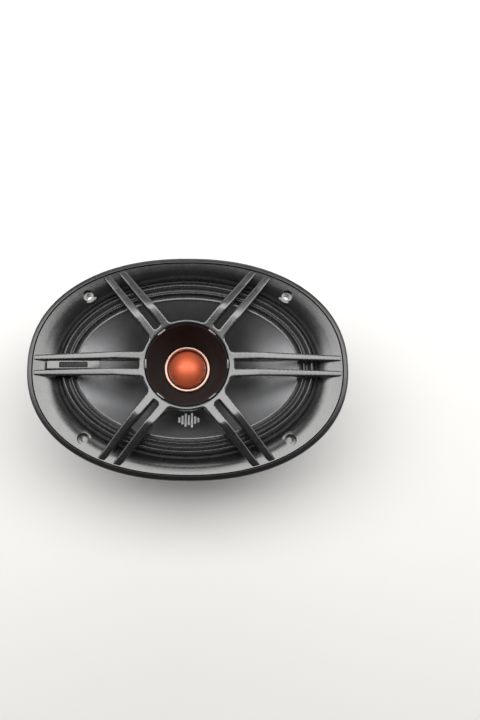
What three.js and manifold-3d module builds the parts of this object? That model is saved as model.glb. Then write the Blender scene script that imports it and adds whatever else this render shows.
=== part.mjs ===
// A 6x9 inch coaxial car loudspeaker, lying on its magnet with its front upwards.
// Millimetres. +X is the long axis of the oval, +Y the short one, +Z out of the front.
// The origin is the centre of the yoke's rear face, which the loudspeaker stands on.
import * as THREE from "three";
import { mergeVertices } from "three/addons/utils/BufferGeometryUtils.js";
import Module from "manifold-3d";

const wasm = await Module();
wasm.setup();

// ---- driving dimensions ----

const TRIM_A = 118.8; // half length of the whole loudspeaker
const RIM_Z = 92; // plane of the grille's outer edge
const DISH_A = 114.3; // outer edge of the grille's dish
const FULLNESS = 0.2; // how much the outermost ovals are fuller than an ellipse
const FULL_FROM = 95; // half length up to which an oval is a plain ellipse
const FULL_TO = 112; // half length from which it has its whole fullness

// Half width of the full-size oval ring with half length a. The dish is wider at its ends than at its sides,
// and outside it the rings keep an even width.
const halfWidth = (a) => (a < DISH_A ? 0.69 * a - 0.17 : a - 35.6);
const OVAL_SEGMENTS = 40;
const ROUND_SEGMENTS = 20;
const GAP = 0.3; // between pieces that touch

const DISH_WALL = 2;
const FLANGE_Z = 80; // front of the basket's flange
const STEEL = 1.5;
const HOLE_X = 75.4; // mounting holes
const HOLE_Y = 53.7;
const HOLE_R = 2.2;
const COUNTERBORE_R = 4;
const COUNTERBORE_Z = 86;

const HUB_BORE_R = 30.6;
const HUB_R = 33.2;
const SPOKE_ANGLES = [0, 51.5, 128.5, 180, 231.5, 308.5];
const SPOKE_HALF_HUB = 9.2; // half width over both bars, at the hub and at the rim
const SPOKE_HALF_RIM = 7.7;
const SLOT_START = 34.6;
// Half width of the gap between the two bars, at the hub and at the rim.
const slotHalf = (angle) => (angle % 180 === 0 ? [3.3, 3.6] : [2.5, 3.2]);
const SPOKE_REACH = 125; // past the rim everywhere

const YOKE_R = 45;
const PLATE_T = 6;
const MAGNET_R = 50;
const MAGNET_TOP = 23.7;
const TOP_PLATE_Z = 24;
const TOP_PLATE_R = 46;
const POLE_R = 18.3;
const POLE_TOP = 31.5;
const GAP_R = 20.6; // bore of the top plate
const BASKET_Z = 30.3; // underside of the basket's bottom plate
const RECESS_R = 9; // recess in the yoke's rear face for the post's nut
const RECESS_Z = 9.5;
const POST_R = 5;
const POST_BORE_R = 1.8;

const FORMER_R = 18.9;
const COIL_R = 19.35;
const NECK_R = 19.5;
const NECK_Z = 50.5;
const CONE_A = 83.6;
const CONE_B = 53.5;
const CONE_DEPTH = 33;
const CONE_T = 0.9;

const BEZEL_R = 17.8; // tweeter
const BEZEL_BORE_R = 15.1;
const BEZEL_Z = 73.5;
const DOME_R = 13.8;
const DOME_H = 8.2;
const BOWL_Z = 98.4; // rim of the bowl round the tweeter

const BLOCK_Y = 65.5; // front face of the terminal block
const BLADE_X = 8;
const BLADE_HALF_T = 0.4; // half the thickness of a tab
const BLADE_LAND = 0.3; // how far its riveted end stands proud of the tab
const BLADE_LAND_Z = 50.4; // where the riveted end begins

// ---- shape helpers ----

const material = (color, roughness, metalness = 0) =>
  new THREE.MeshStandardMaterial({ color, roughness, metalness });

const finish = {
  satinPlastic: material(0x2b2c2e, 0.45),
  mattePlastic: material(0x161617, 0.7),
  rubber: material(0x1c1c1c, 0.8),
  foam: material(0x101010, 0.95),
  paper: material(0x1e1f22, 0.85),
  cloth: material(0x17181a, 0.6),
  spiderCloth: material(0xc79a3a, 0.9),
  blackSteel: material(0x121212, 0.4, 0.3),
  ferrite: material(0x2c2c2e, 0.65),
  zinc: material(0xb9bcc0, 0.3, 1),
  brass: material(0xc9a24a, 0.3, 1),
  copper: material(0xb8693d, 0.35, 1),
  orangeAluminium: material(0xd8532c, 0.35, 0.6),
  roseMetal: material(0xe8b09a, 0.25, 1),
  kapton: material(0x8a4a1c, 0.4),
  neodymium: material(0x9a9da2, 0.25, 1),
  fibre: material(0x3a2f26, 0.8),
  sleeve: material(0x1b3a6b, 0.4),
  wireRed: material(0xa01818, 0.5),
  wireBlack: material(0x101010, 0.5),
};

// The same surface as a manifold-3d solid, and back again.
function toSolid(geometry) {
  const bare = geometry.index ? geometry.toNonIndexed() : geometry.clone();
  const position = bare.getAttribute("position");
  const plain = new THREE.BufferGeometry().setAttribute("position", position);
  const merged = mergeVertices(plain, 1e-4);
  const vertProperties = new Float32Array(merged.attributes.position.array);
  const triVerts = new Uint32Array(merged.index.array);
  return new wasm.Manifold(new wasm.Mesh({ numProp: 3, vertProperties, triVerts }));
}

function toGeometry(solid) {
  const mesh = solid.getMesh();
  const geometry = new THREE.BufferGeometry();
  geometry.setAttribute("position", new THREE.BufferAttribute(mesh.vertProperties, 3));
  geometry.setIndex(new THREE.BufferAttribute(mesh.triVerts, 1));
  return geometry;
}

// Exponent of the oval at half length a: 2 is an ellipse, and more is fuller at the diagonals.
const exponent = (a, b) =>
  a === b ? 2 : 2 + FULLNESS * THREE.MathUtils.clamp((a - FULL_FROM) / (FULL_TO - FULL_FROM), 0, 1);

// Sweeps a closed profile of [half length, half width, height] points round the oval.
function ovalRing(profile, segments = OVAL_SEGMENTS) {
  const points = profile.map(([a, , z]) => new THREE.Vector2(a, z));
  points.push(points[0].clone());
  const geometry = new THREE.LatheGeometry(points, segments);
  geometry.rotateX(Math.PI / 2);
  const position = geometry.getAttribute("position");
  for (let i = 0; i < position.count; i++) {
    const [a, b] = profile[(i % points.length) % profile.length];
    const power = 2 / exponent(a, b);
    const c = position.getX(i) / a;
    const s = position.getY(i) / a;
    position.setX(i, a * Math.sign(c) * Math.abs(c) ** power);
    position.setY(i, b * Math.sign(s) * Math.abs(s) ** power);
  }
  return geometry;
}

// A full-size oval ring's profile needs only its half lengths.
const concentric = (pairs) => pairs.map(([a, z]) => [a, halfWidth(a), z]);

// A round piece from [radius, height] points. It closes on itself, or on the axis where it starts there.
function turned(profile, segments = ROUND_SEGMENTS) {
  const points = profile.map(([r, z]) => new THREE.Vector2(r, z));
  if (profile[0][0] > 0) points.push(points[0].clone());
  return new THREE.LatheGeometry(points, segments).rotateX(Math.PI / 2);
}

const cylinder = (r, z0, z1, x = 0, y = 0, segments = ROUND_SEGMENTS) =>
  turned([[0, z0], [r, z0], [r, z1], [0, z1]], segments).translate(x, y, 0);

const tube = (r0, r1, z0, z1, segments = ROUND_SEGMENTS) =>
  turned([[r0, z0], [r1, z0], [r1, z1], [r0, z1]], segments);

const box = (x, y, z, cx, cy, cz) => new THREE.BoxGeometry(x, y, z).translate(cx, cy, cz);

// An outline in the XY plane, with rounded corners where a point gives a radius, extruded from z0 to z1.
function prism(corners, z0, z1, curveSegments = 2) {
  const shape = new THREE.Shape();
  corners.forEach(([x, y, radius = 0], i) => {
    const at = new THREE.Vector2(x, y);
    const before = new THREE.Vector2(...corners.at(i - 1).slice(0, 2));
    const after = new THREE.Vector2(...corners[(i + 1) % corners.length].slice(0, 2));
    const start = at.clone().add(before.sub(at).setLength(radius || 1e-9));
    const end = at.clone().add(after.sub(at).setLength(radius || 1e-9));
    if (i === 0) shape.moveTo(radius ? start.x : x, radius ? start.y : y);
    else shape.lineTo(radius ? start.x : x, radius ? start.y : y);
    if (radius) shape.quadraticCurveTo(x, y, end.x, end.y);
  });
  shape.closePath();
  const options = { depth: z1 - z0, bevelEnabled: false, curveSegments };
  return new THREE.ExtrudeGeometry(shape, options).translate(0, 0, z0);
}

// A round wire along a smooth curve through the points, with an even number of sides.
function wire(points, radius, steps, sides = 6) {
  const path = new THREE.CatmullRomCurve3(points.map((p) => new THREE.Vector3(...p)));
  const section = new THREE.Shape().absarc(0, 0, radius, 0, 2 * Math.PI);
  const options = { steps, extrudePath: path, bevelEnabled: false, curveSegments: sides / 2 };
  return new THREE.ExtrudeGeometry(section, options);
}

const subtractAll = (solid, cutters) => cutters.reduce((left, c) => left.subtract(toSolid(c)), solid);
const addAll = (solid, extras) => extras.reduce((left, e) => left.add(toSolid(e)), solid);
const fourCorners = [[1, 1], [-1, 1], [-1, -1], [1, -1]];
const polar = (r, degrees) => {
  const turn = THREE.MathUtils.degToRad(degrees);
  return [r * Math.cos(turn), r * Math.sin(turn)];
};

const speaker = new THREE.Group();
function add(name, geometry, look) {
  const mesh = new THREE.Mesh(geometry, look);
  mesh.name = name;
  speaker.add(mesh);
}

// ---- motor ----

const WIRE_GROOVE_HALF = 2;
const WIRE_GROOVE_Z = 3;
const yokeProfile = [[POST_R + GAP, RECESS_Z], [RECESS_R, RECESS_Z], [RECESS_R, 0], [YOKE_R - 1, 0],
  [YOKE_R, 1], [YOKE_R, PLATE_T], [POLE_R, PLATE_T], [POLE_R, POLE_TOP], [POST_R + GAP, POLE_TOP]];
const groove = box(YOKE_R, 2 * WIRE_GROOVE_HALF, 2 * WIRE_GROOVE_Z, YOKE_R / 2 + 4, 0, 0)
  .rotateZ(-Math.PI / 2);
add("yoke", toGeometry(toSolid(turned(yokeProfile)).subtract(toSolid(groove))), finish.blackSteel);
add("magnet", tube(POLE_R + 8, MAGNET_R, PLATE_T + GAP, MAGNET_TOP), finish.ferrite);

const MOTOR_SCREW_R = 34;
const SCREW_ANGLES = [45, 135, 225, 315];
const SCREW_SHANK_R = 2;
const screwHole = (degrees, r, z0, z1) => cylinder(r, z0, z1, ...polar(MOTOR_SCREW_R, degrees), 12);
const topPlate = toSolid(tube(GAP_R, TOP_PLATE_R, TOP_PLATE_Z, BASKET_Z - GAP));
const tapped = SCREW_ANGLES.map((a) => screwHole(a, SCREW_SHANK_R + GAP, TOP_PLATE_Z + 1, BASKET_Z + 1));
add("top_plate", toGeometry(subtractAll(topPlate, tapped)), finish.zinc);

const headZ = BASKET_Z + STEEL + GAP;
SCREW_ANGLES.forEach((angle, i) => {
  const tip = TOP_PLATE_Z + 1.5;
  const profile = [[0, tip], [SCREW_SHANK_R, tip], [SCREW_SHANK_R, headZ], [3.8, headZ],
    [3.6, headZ + 1.6], [2, headZ + 2.4], [0, headZ + 2.4]];
  add(`motor_screw_${i + 1}`, turned(profile, 12).translate(...polar(MOTOR_SCREW_R, angle), 0), finish.zinc);
});
add("pole_dust_ring", tube(POST_R + GAP, 17.5, POLE_TOP + GAP, 35.5), finish.foam);

// ---- basket ----

const SHELF_Z = 42.5; // the spider's landing
const LEAD_SLOT_Z = [69.6, 74.2];
const FLANGE_A = DISH_A - 0.2;
const FLANGE_B = halfWidth(FLANGE_A);
const basketProfile = [
  [22.5, 22.5, BASKET_Z], [44, 44, BASKET_Z], [46.5, 46.5, 33], [47.5, 47.5, SHELF_Z - STEEL],
  [53, 52, SHELF_Z - STEEL], [96, 66, FLANGE_Z - STEEL], [FLANGE_A, FLANGE_B, FLANGE_Z - STEEL],
  [FLANGE_A, FLANGE_B, FLANGE_Z], [94.4, 64.4, FLANGE_Z], [51.6, 50.6, SHELF_Z], [46, 46, SHELF_Z],
  [45, 45, 33.8], [43.3, 43.3, BASKET_Z + STEEL], [22.5, 22.5, BASKET_Z + STEEL]];

// Cutter for the window centred at angle t of the oval, square to the wall there.
const WINDOW_MID = { a: 74.5, b: 58.8 };
function basketWindow(t, halfLow, halfHigh) {
  const turn = THREE.MathUtils.degToRad(t);
  const cx = WINDOW_MID.a * Math.cos(turn);
  const cy = WINDOW_MID.b * Math.sin(turn);
  const facing = Math.atan2(Math.sin(turn) / WINDOW_MID.b, Math.cos(turn) / WINDOW_MID.a);
  const outline = [[-halfLow, 47.5, 5], [halfLow, 47.5, 5], [halfHigh, 73.5, 6], [-halfHigh, 73.5, 6]];
  return prism(outline, -25, 35)
    .rotateX(Math.PI / 2) // outline stands up, and is extruded along -Y
    .rotateZ(facing + Math.PI / 2)
    .translate(cx, cy, 0);
}

const GRILLE_SCREW_A = 103; // oval that the grille's rear screws stand on
const GRILLE_SCREW_T = [18, 162, 198, 342];
const grilleScrewAt = GRILLE_SCREW_T.map((t) => {
  const [c, s] = polar(1, t);
  return [GRILLE_SCREW_A * c, halfWidth(GRILLE_SCREW_A) * s];
});
const leadSlot = box(24, 20, LEAD_SLOT_Z[1] - LEAD_SLOT_Z[0], 0, -60, (LEAD_SLOT_Z[0] + LEAD_SLOT_Z[1]) / 2);
const basketCuts = [
  ...[0, 180].map((t) => basketWindow(t, 15, 22)),
  ...[60, 120, 240, 300].map((t) => basketWindow(t, 19, 22)),
  ...fourCorners.map(([x, y]) => cylinder(HOLE_R, 70, 90, x * HOLE_X, y * HOLE_Y, 12)),
  ...grilleScrewAt.map(([x, y]) => cylinder(1.6, 70, 90, x, y, 8)),
  ...SCREW_ANGLES.map((angle) => screwHole(angle, SCREW_SHANK_R + GAP, 28, 36)),
  leadSlot,
];
add("basket", toGeometry(subtractAll(toSolid(ovalRing(basketProfile)), basketCuts)), finish.blackSteel);

const GASKET_Z = [76.2, FLANGE_Z - STEEL - GAP];
const gasketOutline = concentric([[99.2, GASKET_Z[0]], [111.7, GASKET_Z[0]], [111.7, GASKET_Z[1]],
  [99.2, GASKET_Z[1]]]);
const gasketHoles = [
  ...fourCorners.map(([x, y]) => cylinder(3, 70, 90, x * HOLE_X, y * HOLE_Y, 12)),
  ...grilleScrewAt.map(([x, y]) => cylinder(3.2, 70, 90, x, y, 12)),
];
add("mounting_gasket", toGeometry(subtractAll(toSolid(ovalRing(gasketOutline)), gasketHoles)), finish.foam);

// A soft-edged ring whose face slopes down outwards, with a shelf under the flange.
const trimProfile = concentric([[114.9, 91.6], [114.9, 82], [114.6, 80.4], [114.6, GASKET_Z[1]],
  [112.1, GASKET_Z[1]], [112.1, 76.4], [117.2, 76.4], [118.3, 78], [TRIM_A, 84], [TRIM_A, 90],
  [118.3, 91.2], [116.4, 92.4], [115.4, 92.4]]);
add("trim_ring", ovalRing(trimProfile), finish.rubber);

// ---- grille ----

const SKIRT_Z = FLANGE_Z + GAP;
const dishProfile = concentric([[DISH_A, SKIRT_Z], [DISH_A, RIM_Z], [106.4, RIM_Z - 2.1],
  [101.6, RIM_Z - 4.9], [97.5, RIM_Z - 8.3], [97.8, RIM_Z - 9], [103.4, RIM_Z - 5.8],
  [DISH_A - DISH_WALL, RIM_Z - 2.5], [DISH_A - DISH_WALL, SKIRT_Z]]);

// The spokes and hub are cut out of a shallow arch that is highest a third of the way out.
const archProfile = [
  [HUB_BORE_R, HUB_BORE_R, 91.6], [54, 46, 92], [78, 54.5, 92.8], [96.4, 66.2, RIM_Z + 0.6],
  [98.3, 67.6, RIM_Z - 8.3], [DISH_A - 0.2, halfWidth(DISH_A) - 0.2, RIM_Z - 3],
  [DISH_A - 0.2, halfWidth(DISH_A) - 0.2, RIM_Z], [76, 59.5, 98.3], [55, 49.3, 101.7],
  [40, 38.8, 100.9], [HUB_BORE_R, HUB_BORE_R, 99.2]];

// Corner of a window where a spoke's edge meets the hub, and a point far out on the same edge.
function spokeEdge(degrees, side) {
  const along = polar(1, degrees);
  const across = [-along[1] * side, along[0] * side];
  const at = (r, half) => [along[0] * r + across[0] * half, along[1] * r + across[1] * half];
  const hubR = Math.sqrt(HUB_R ** 2 - SPOKE_HALF_HUB ** 2);
  const slope = (SPOKE_HALF_RIM - SPOKE_HALF_HUB) / (DISH_A - HUB_R);
  const far = 2 * SPOKE_REACH;
  return { hub: at(hubR, SPOKE_HALF_HUB), far: at(far, SPOKE_HALF_HUB + slope * (far - hubR)) };
}

function grilleWindow(i) {
  const from = spokeEdge(SPOKE_ANGLES[i], 1);
  const next = SPOKE_ANGLES[(i + 1) % SPOKE_ANGLES.length];
  const to = spokeEdge(next, -1);
  const start = THREE.MathUtils.radToDeg(Math.atan2(from.hub[1], from.hub[0]));
  const end = THREE.MathUtils.radToDeg(Math.atan2(to.hub[1], to.hub[0]));
  const sweep = (end - start + 360) % 360;
  const arc = [0.3, 0.5, 0.7].map((k) => polar(HUB_R, start + sweep * k));
  const radius = 2.5;
  return prism([from.far, [...from.hub, radius], ...arc, [...to.hub, radius], to.far], 80, 110);
}

function spokeSlot(degrees) {
  const [atHub, atRim] = slotHalf(degrees);
  const slope = (atRim - atHub) / (DISH_A - SLOT_START);
  const half = atHub + slope * (SPOKE_REACH - SLOT_START);
  const outline = [[SLOT_START, -atHub, 1.2], [SPOKE_REACH, -half], [SPOKE_REACH, half],
    [SLOT_START, atHub, 1.2]];
  return prism(outline, 80, 110).rotateZ(THREE.MathUtils.degToRad(degrees));
}

const arch = subtractAll(toSolid(ovalRing(archProfile)), [
  ...SPOKE_ANGLES.map((_, i) => grilleWindow(i)),
  ...SPOKE_ANGLES.map(spokeSlot),
]);
const mountBosses = fourCorners.map(([x, y]) => cylinder(6.3, SKIRT_Z, 88.6, x * HOLE_X, y * HOLE_Y, 12));
const screwBosses = grilleScrewAt.map(([x, y]) => cylinder(2.9, SKIRT_Z, 85.9, x, y, 10));
const grilleHoles = [
  ...fourCorners.map(([x, y]) => cylinder(HOLE_R, 70, 100, x * HOLE_X, y * HOLE_Y, 12)),
  ...fourCorners.map(([x, y]) => cylinder(COUNTERBORE_R, COUNTERBORE_Z, 100, x * HOLE_X, y * HOLE_Y, 16)),
  ...grilleScrewAt.map(([x, y]) => cylinder(1.4, 70, 84.9, x, y, 8)),
];
const grille = addAll(toSolid(ovalRing(dishProfile)).add(arch), [...mountBosses, ...screwBosses]);
add("grille", toGeometry(subtractAll(grille, grilleHoles)), finish.satinPlastic);

grilleScrewAt.forEach(([x, y], i) => {
  const under = FLANGE_Z - STEEL - GAP;
  const profile = [[0, under - 1.7], [2, under - 1.7], [2.7, under - 0.9], [2.7, under], [1.1, under],
    [1.1, 84.2], [0, 84.6]];
  add(`grille_screw_${i + 1}`, turned(profile, 10).translate(x, y, 0), finish.zinc);
});

// A name plate between the two bars of the left spoke, with a slotted insert and no name on it.
const PLATE = { x0: -103.4, x1: -63.6, half: 3.1, top: 94.8, thick: 1.8, tilt: 0.075 };
const plateShift = 0.2; // of the window and the insert from the plate's middle
const plateMid = (PLATE.x0 + PLATE.x1) / 2;
const plateBody = toSolid(box(PLATE.x1 - PLATE.x0, 2 * PLATE.half, PLATE.thick, 0, 0, -PLATE.thick / 2));
const plateWindow = box(21.4, 4.2, 10, plateShift, 0, 0);
const plateHole = plateBody.subtract(toSolid(plateWindow));
const layPlate = (piece) => piece.rotateY(-PLATE.tilt).translate(plateMid, 0, PLATE.top);
add("badge_plate", layPlate(toGeometry(plateHole)), finish.satinPlastic);
add("badge_insert", layPlate(box(20.6, 3.4, 1, plateShift, 0, -1.1)), finish.mattePlastic);

// ---- cone, coil and suspension ----

// Half length, half width and height of the cone's front face, from 0 at the neck to 1 at its edge.
function coneRing(s, drop = 0) {
  const flare = s ** 0.93;
  return [NECK_R + (CONE_A - NECK_R) * s, NECK_R + (CONE_B - NECK_R) * s, NECK_Z + CONE_DEPTH * flare - drop];
}
const coneSteps = [0, 0.3, 0.65, 1];
const coneFront = coneSteps.map((s) => coneRing(s)).reverse();
const coneBack = coneSteps.map((s) => coneRing(s, CONE_T));
add("cone", ovalRing([...coneBack, ...coneFront]), finish.paper);
add("coil_former", tube(FORMER_R, FORMER_R + 0.3, 20.5, NECK_Z + 0.2), finish.kapton);
add("voice_coil", tube(COIL_R, COIL_R + 0.65, 21, 33), finish.copper);

const SURROUND_T = 0.4; // half its thickness
const surroundLine = [
  [82.4, 52.4, 84.1], [84.3, 54.2, 84.1], [86.1, 55.9, 88], [87.3, 57.1, 88], [89.6, 59.4, 84],
  [91.9, 61.8, 88], [93.1, 63, 88], [95.3, 65.2, 80.8], [98.4, 68, 80.8]];
const surroundFront = surroundLine.map(([a, b, z]) => [a, b, z + SURROUND_T]).reverse();
const surroundBack = surroundLine.map(([a, b, z]) => [a, b, z - SURROUND_T]);
add("surround", ovalRing([...surroundBack, ...surroundFront]), finish.cloth);
const surroundGasket = concentric([[96, 81.5], [98.4, 81.5], [98.4, 82.5], [96, 82.5]]);
add("surround_gasket", ovalRing(surroundGasket), finish.fibre);

const spiderLine = [[NECK_R + 0.1, 45], [23, 45], [28, 43.6], [33, 46.2], [38, 43.6], [43, 46.2],
  [47.4, 43.1], [50.4, 43.1]];
const spiderFront = spiderLine.map(([r, z]) => [r, z + 0.3]).reverse();
const spiderBack = spiderLine.map(([r, z]) => [r, z - 0.3]);
add("spider", turned([...spiderBack, ...spiderFront]), finish.spiderCloth);

// ---- tweeter, its bowl and its post ----

const bowlProfile = [[18.2, 70.4], [19.7, 70.4], [21.6, 75.5], [26, 86], [29.8, 95],
  [30.2, BOWL_Z], [29.3, BOWL_Z], [27.4, 92], [21.9, 79.3], [18.2, 73.3]];
const CLIP_HALF = 6.4; // degrees each side of a spoke's middle
const clip = (degrees) => {
  const corner = (r, k) => polar(r, degrees + k * CLIP_HALF);
  return prism([corner(29.4, -1), corner(30.2, -1), corner(30.2, 1), corner(29.4, 1)], 97, 99.7);
};
const bowl = addAll(toSolid(turned(bowlProfile)), SPOKE_ANGLES.map(clip));
add("tweeter_bowl", toGeometry(bowl), finish.mattePlastic);
add("tweeter_bezel", turned([[BEZEL_BORE_R, 71.1], [BEZEL_R, 71.1], [BEZEL_R, 72.8], [BEZEL_R - 0.6, BEZEL_Z],
  [BEZEL_BORE_R + 0.6, BEZEL_Z], [BEZEL_BORE_R, 72.8]]), finish.roseMetal);

// Spherical dome: down its inside from the axis to the edge, and back up its outside.
const DOME_Z = 72;
const domeSphereR = (DOME_R ** 2 + DOME_H ** 2) / (2 * DOME_H);
const DOME_T = 0.5;
const domePoint = (k, inset) => {
  const reach = Math.asin(DOME_R / domeSphereR);
  const r = domeSphereR - inset;
  return [r * Math.sin(reach * k), DOME_Z + DOME_H - domeSphereR + r * Math.cos(reach * k)];
};
const domeSteps = [0, 0.3, 0.65, 1];
const domeInside = domeSteps.map((k) => domePoint(k, DOME_T));
const domeOutside = domeSteps.map((k) => domePoint(k, 0)).reverse();
add("tweeter_dome", turned([...domeInside, ...domeOutside]), finish.orangeAluminium);
add("tweeter_surround", turned([[14.05, 71.9], [14.4, 72.1], [14.6, 71.6], [14.5, 70.4], [16.8, 70.4],
  [16.8, 70.8], [14.85, 70.8], [14.85, 71.9], [14.45, 72.6], [14.05, 72.4]]), finish.cloth);
add("tweeter_coil", tube(12.3, 12.7, 63, 70.8), finish.kapton);
add("tweeter_pole_plate", cylinder(11.4, 64.9, 67.5), finish.zinc);
add("tweeter_magnet", cylinder(10.6, 59.4, 64.6), finish.neodymium);
add("tweeter_yoke", turned([[0, 56.1], [12.5, 56.1], [16.8, 60], [16.8, 70], [13.3, 70], [13.3, 60.5],
  [11.4, 59.1], [0, 59.1]]), finish.zinc);
add("tweeter_housing", turned([[POST_R + GAP, 52.9], [14, 53.5], [18.9, 58], [18.9, 70], [17.3, 70],
  [17.3, 58.7], [14, 55.7], [POST_R + GAP, 55.1]]), finish.mattePlastic);
add("tweeter_post", turned([[POST_BORE_R, 4.4], [POST_R, 4.4], [POST_R, 49.9], [8.5, 50.4], [8.5, 52.6],
  [POST_R, 52.6], [POST_R, 55.7], [POST_BORE_R, 55.7]], 16), finish.zinc);
add("post_washer", tube(POST_R + 0.2, 8.4, 8.2, 9.2, 16), finish.zinc);
const nutAcross = 13 / Math.sqrt(3); // hexagon's corner radius, 13 mm across the flats
const hexagon = toSolid(cylinder(nutAcross, 4.7, 7.9, 0, 0, 6));
add("post_nut", toGeometry(hexagon.subtract(toSolid(cylinder(POST_R + 0.2, 4, 9)))), finish.zinc);

// ---- terminals and wiring ----

// A wedge that lies on the sloping leg, given as [distance out, height] points and 30 mm long.
const blockOutline = [[BLOCK_Y, 50.5], [BLOCK_Y, 67.4], [64, 69], [62.9, 69], [55.95, 50.5]];
const block = prism(blockOutline, -15, 15).rotateX(Math.PI / 2).rotateZ(-Math.PI / 2);
add("terminal_block", block, finish.mattePlastic);

const bladeY = -BLOCK_Y - GAP - BLADE_HALF_T;
function blade(name, x, width) {
  const half = width / 2;
  const outline = [[x - half, 64.5], [x - half, 43.2, 0.6], [x - half + 1.2, 41.4], [x + half - 1.2, 41.4],
    [x + half, 43.2, 0.6], [x + half, 64.5]];
  const stand = (piece, atX = 0, atZ = 0) => piece.rotateX(Math.PI / 2).translate(atX, bladeY, atZ);
  const landOutline = [[x - half, 64.5], [x - half, BLADE_LAND_Z], [x + half, BLADE_LAND_Z],
    [x + half, 64.5]];
  const tab = toSolid(stand(prism(outline, -BLADE_HALF_T, BLADE_HALF_T)));
  const land = toSolid(stand(prism(landOutline, -BLADE_HALF_T, BLADE_HALF_T + BLADE_LAND)));
  const hole = toSolid(stand(cylinder(0.9, -3, 3, 0, 0, 10), x, 45.6));
  add(name, toGeometry(tab.add(land).subtract(hole)), finish.brass);
  const rivetBack = BLADE_HALF_T + BLADE_LAND + GAP;
  const rivet = stand(cylinder(1.9, rivetBack, rivetBack + 0.9, 0, 0, 12), x, 56);
  add(`${name}_rivet`, rivet, finish.brass);
}
blade("terminal_positive", -BLADE_X, 6.3);
blade("terminal_negative", BLADE_X, 4.8);

// Flexible leads from the terminals, through the slot in the leg, to the back of the cone.
const lead = (x) => [[x, bladeY - 0.2, 65.6], [x, bladeY + 0.6, 70.4], [x, -62.8, 72.2], [x, -57, 71.4],
  [x * 1.05, -49, 66.2], [x * 1.1, -42, 60.6], [x * 1.1, -36.5, 59.4], [x * 1.1, -32, 60.6]];
add("tinsel_lead_positive", wire(lead(-BLADE_X), 0.6, 24), finish.copper);
add("tinsel_lead_negative", wire(lead(BLADE_X), 0.6, 24), finish.copper);

const CAP = { y: -59.4, z: 44.6, r: 4.5, half: 9 };
add("crossover_capacitor", turned([[0, -CAP.half], [CAP.r - 0.6, -CAP.half], [CAP.r, -CAP.half + 0.8],
  [CAP.r, CAP.half - 0.8], [CAP.r - 0.6, CAP.half], [0, CAP.half]], 16)
  .rotateY(Math.PI / 2).translate(0, CAP.y, CAP.z), finish.sleeve);
add("capacitor_lead", wire([[-CAP.half - 0.4, CAP.y, CAP.z], [-CAP.half - 2.2, CAP.y - 0.6, CAP.z + 1.2],
  [-CAP.half - 2.8, CAP.y - 2.2, CAP.z + 3], [-CAP.half - 2.8, CAP.y - 3.2, 50.1]], 0.45, 10), finish.zinc);

// The tweeter's two wires: down the post's bore, along the groove in the yoke, up the side of the magnet.
const tweeterWire = (x, end) => [[x, 0, 55.8], [x, 0, 38], [x, 0, 18], [x, 0, 6], [x, -1.1, 2.6],
  [x, -4, 1.5], [x, -12, 1.5], [x, -30, 1.5], [x, -44, 1.5], [x, -50, 2.6], [x, -51.4, 6.5],
  [x, -51.4, 20], ...end];
add("tweeter_wire_positive", wire(tweeterWire(0.8, [[1.5, -51.6, 30], [7, -54.6, 37.5], [11.4, -58.6, 42],
  [11.4, CAP.y, CAP.z], [CAP.half + 0.4, CAP.y, CAP.z]]), 0.6, 48), finish.wireRed);
add("tweeter_wire_negative", wire(tweeterWire(-0.8, [[-0.8, -52, 30], [3, -56, 36], [9, -64.4, 39.6],
  [12.6, -64.4, 44], [12.6, -63, 50.1]]), 0.6, 48), finish.wireBlack);

export default speaker;
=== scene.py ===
import math
import bmesh
import bpy
import numpy as np
import openvdb
from mathutils import Euler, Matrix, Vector


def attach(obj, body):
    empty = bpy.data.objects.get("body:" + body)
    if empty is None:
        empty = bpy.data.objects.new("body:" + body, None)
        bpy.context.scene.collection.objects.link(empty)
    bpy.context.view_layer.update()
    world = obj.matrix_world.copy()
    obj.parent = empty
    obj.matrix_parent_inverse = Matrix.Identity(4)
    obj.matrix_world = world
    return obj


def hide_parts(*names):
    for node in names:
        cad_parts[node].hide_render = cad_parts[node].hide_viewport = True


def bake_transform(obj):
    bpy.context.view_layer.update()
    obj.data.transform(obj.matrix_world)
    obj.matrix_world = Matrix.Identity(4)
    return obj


mm = 0.001
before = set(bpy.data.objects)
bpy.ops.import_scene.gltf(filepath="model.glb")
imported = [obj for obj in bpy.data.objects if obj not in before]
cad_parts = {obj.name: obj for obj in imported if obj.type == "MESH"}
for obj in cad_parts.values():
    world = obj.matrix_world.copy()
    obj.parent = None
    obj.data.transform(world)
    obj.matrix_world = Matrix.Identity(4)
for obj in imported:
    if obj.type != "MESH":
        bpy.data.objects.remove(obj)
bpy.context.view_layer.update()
print("frame loaded:", len(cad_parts), "nodes")

# ---- shape helpers: all take millimetres, and make meshes in metres ----


def halfWidth(a):  # of every full-size oval ring with half length a
    return 0.69 * a - 0.17 if a < 114.3 else a - 35.6


def fullness(a, b):  # exponent of the oval, 2 for an ellipse or a circle
    return 2 if a == b else 2 + 0.2 * min(max((a - 95) / 17, 0), 1)


def ovalPoint(a, b, turn):
    power = 2 / fullness(a, b)
    c, s = math.cos(turn), math.sin(turn)
    return math.copysign(abs(c) ** power * a, c), math.copysign(abs(s) ** power * b, s)


def concentric(pairs):
    return [(a, halfWidth(a), z) for a, z in pairs]


def roundCorners(points, radius, steps=4, closed=True):
    # replaces each corner by a short curve; a radius can be given for each point
    points = [Vector(p) for p in points]
    radii = radius if isinstance(radius, (list, tuple)) else [radius] * len(points)
    soft = []
    for i, p in enumerate(points):
        ends = not closed and i in (0, len(points) - 1)
        if ends or radii[i] == 0:
            soft.append(p)
            continue
        before, after = points[i - 1] - p, points[(i + 1) % len(points)] - p
        start = p + before * min(radii[i] / before.length, 0.45)
        end = p + after * min(radii[i] / after.length, 0.45)
        for k in range(steps + 1):
            t = k / steps
            soft.append(start * (1 - t) ** 2 + p * 2 * t * (1 - t) + end * t ** 2)
    return soft


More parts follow.
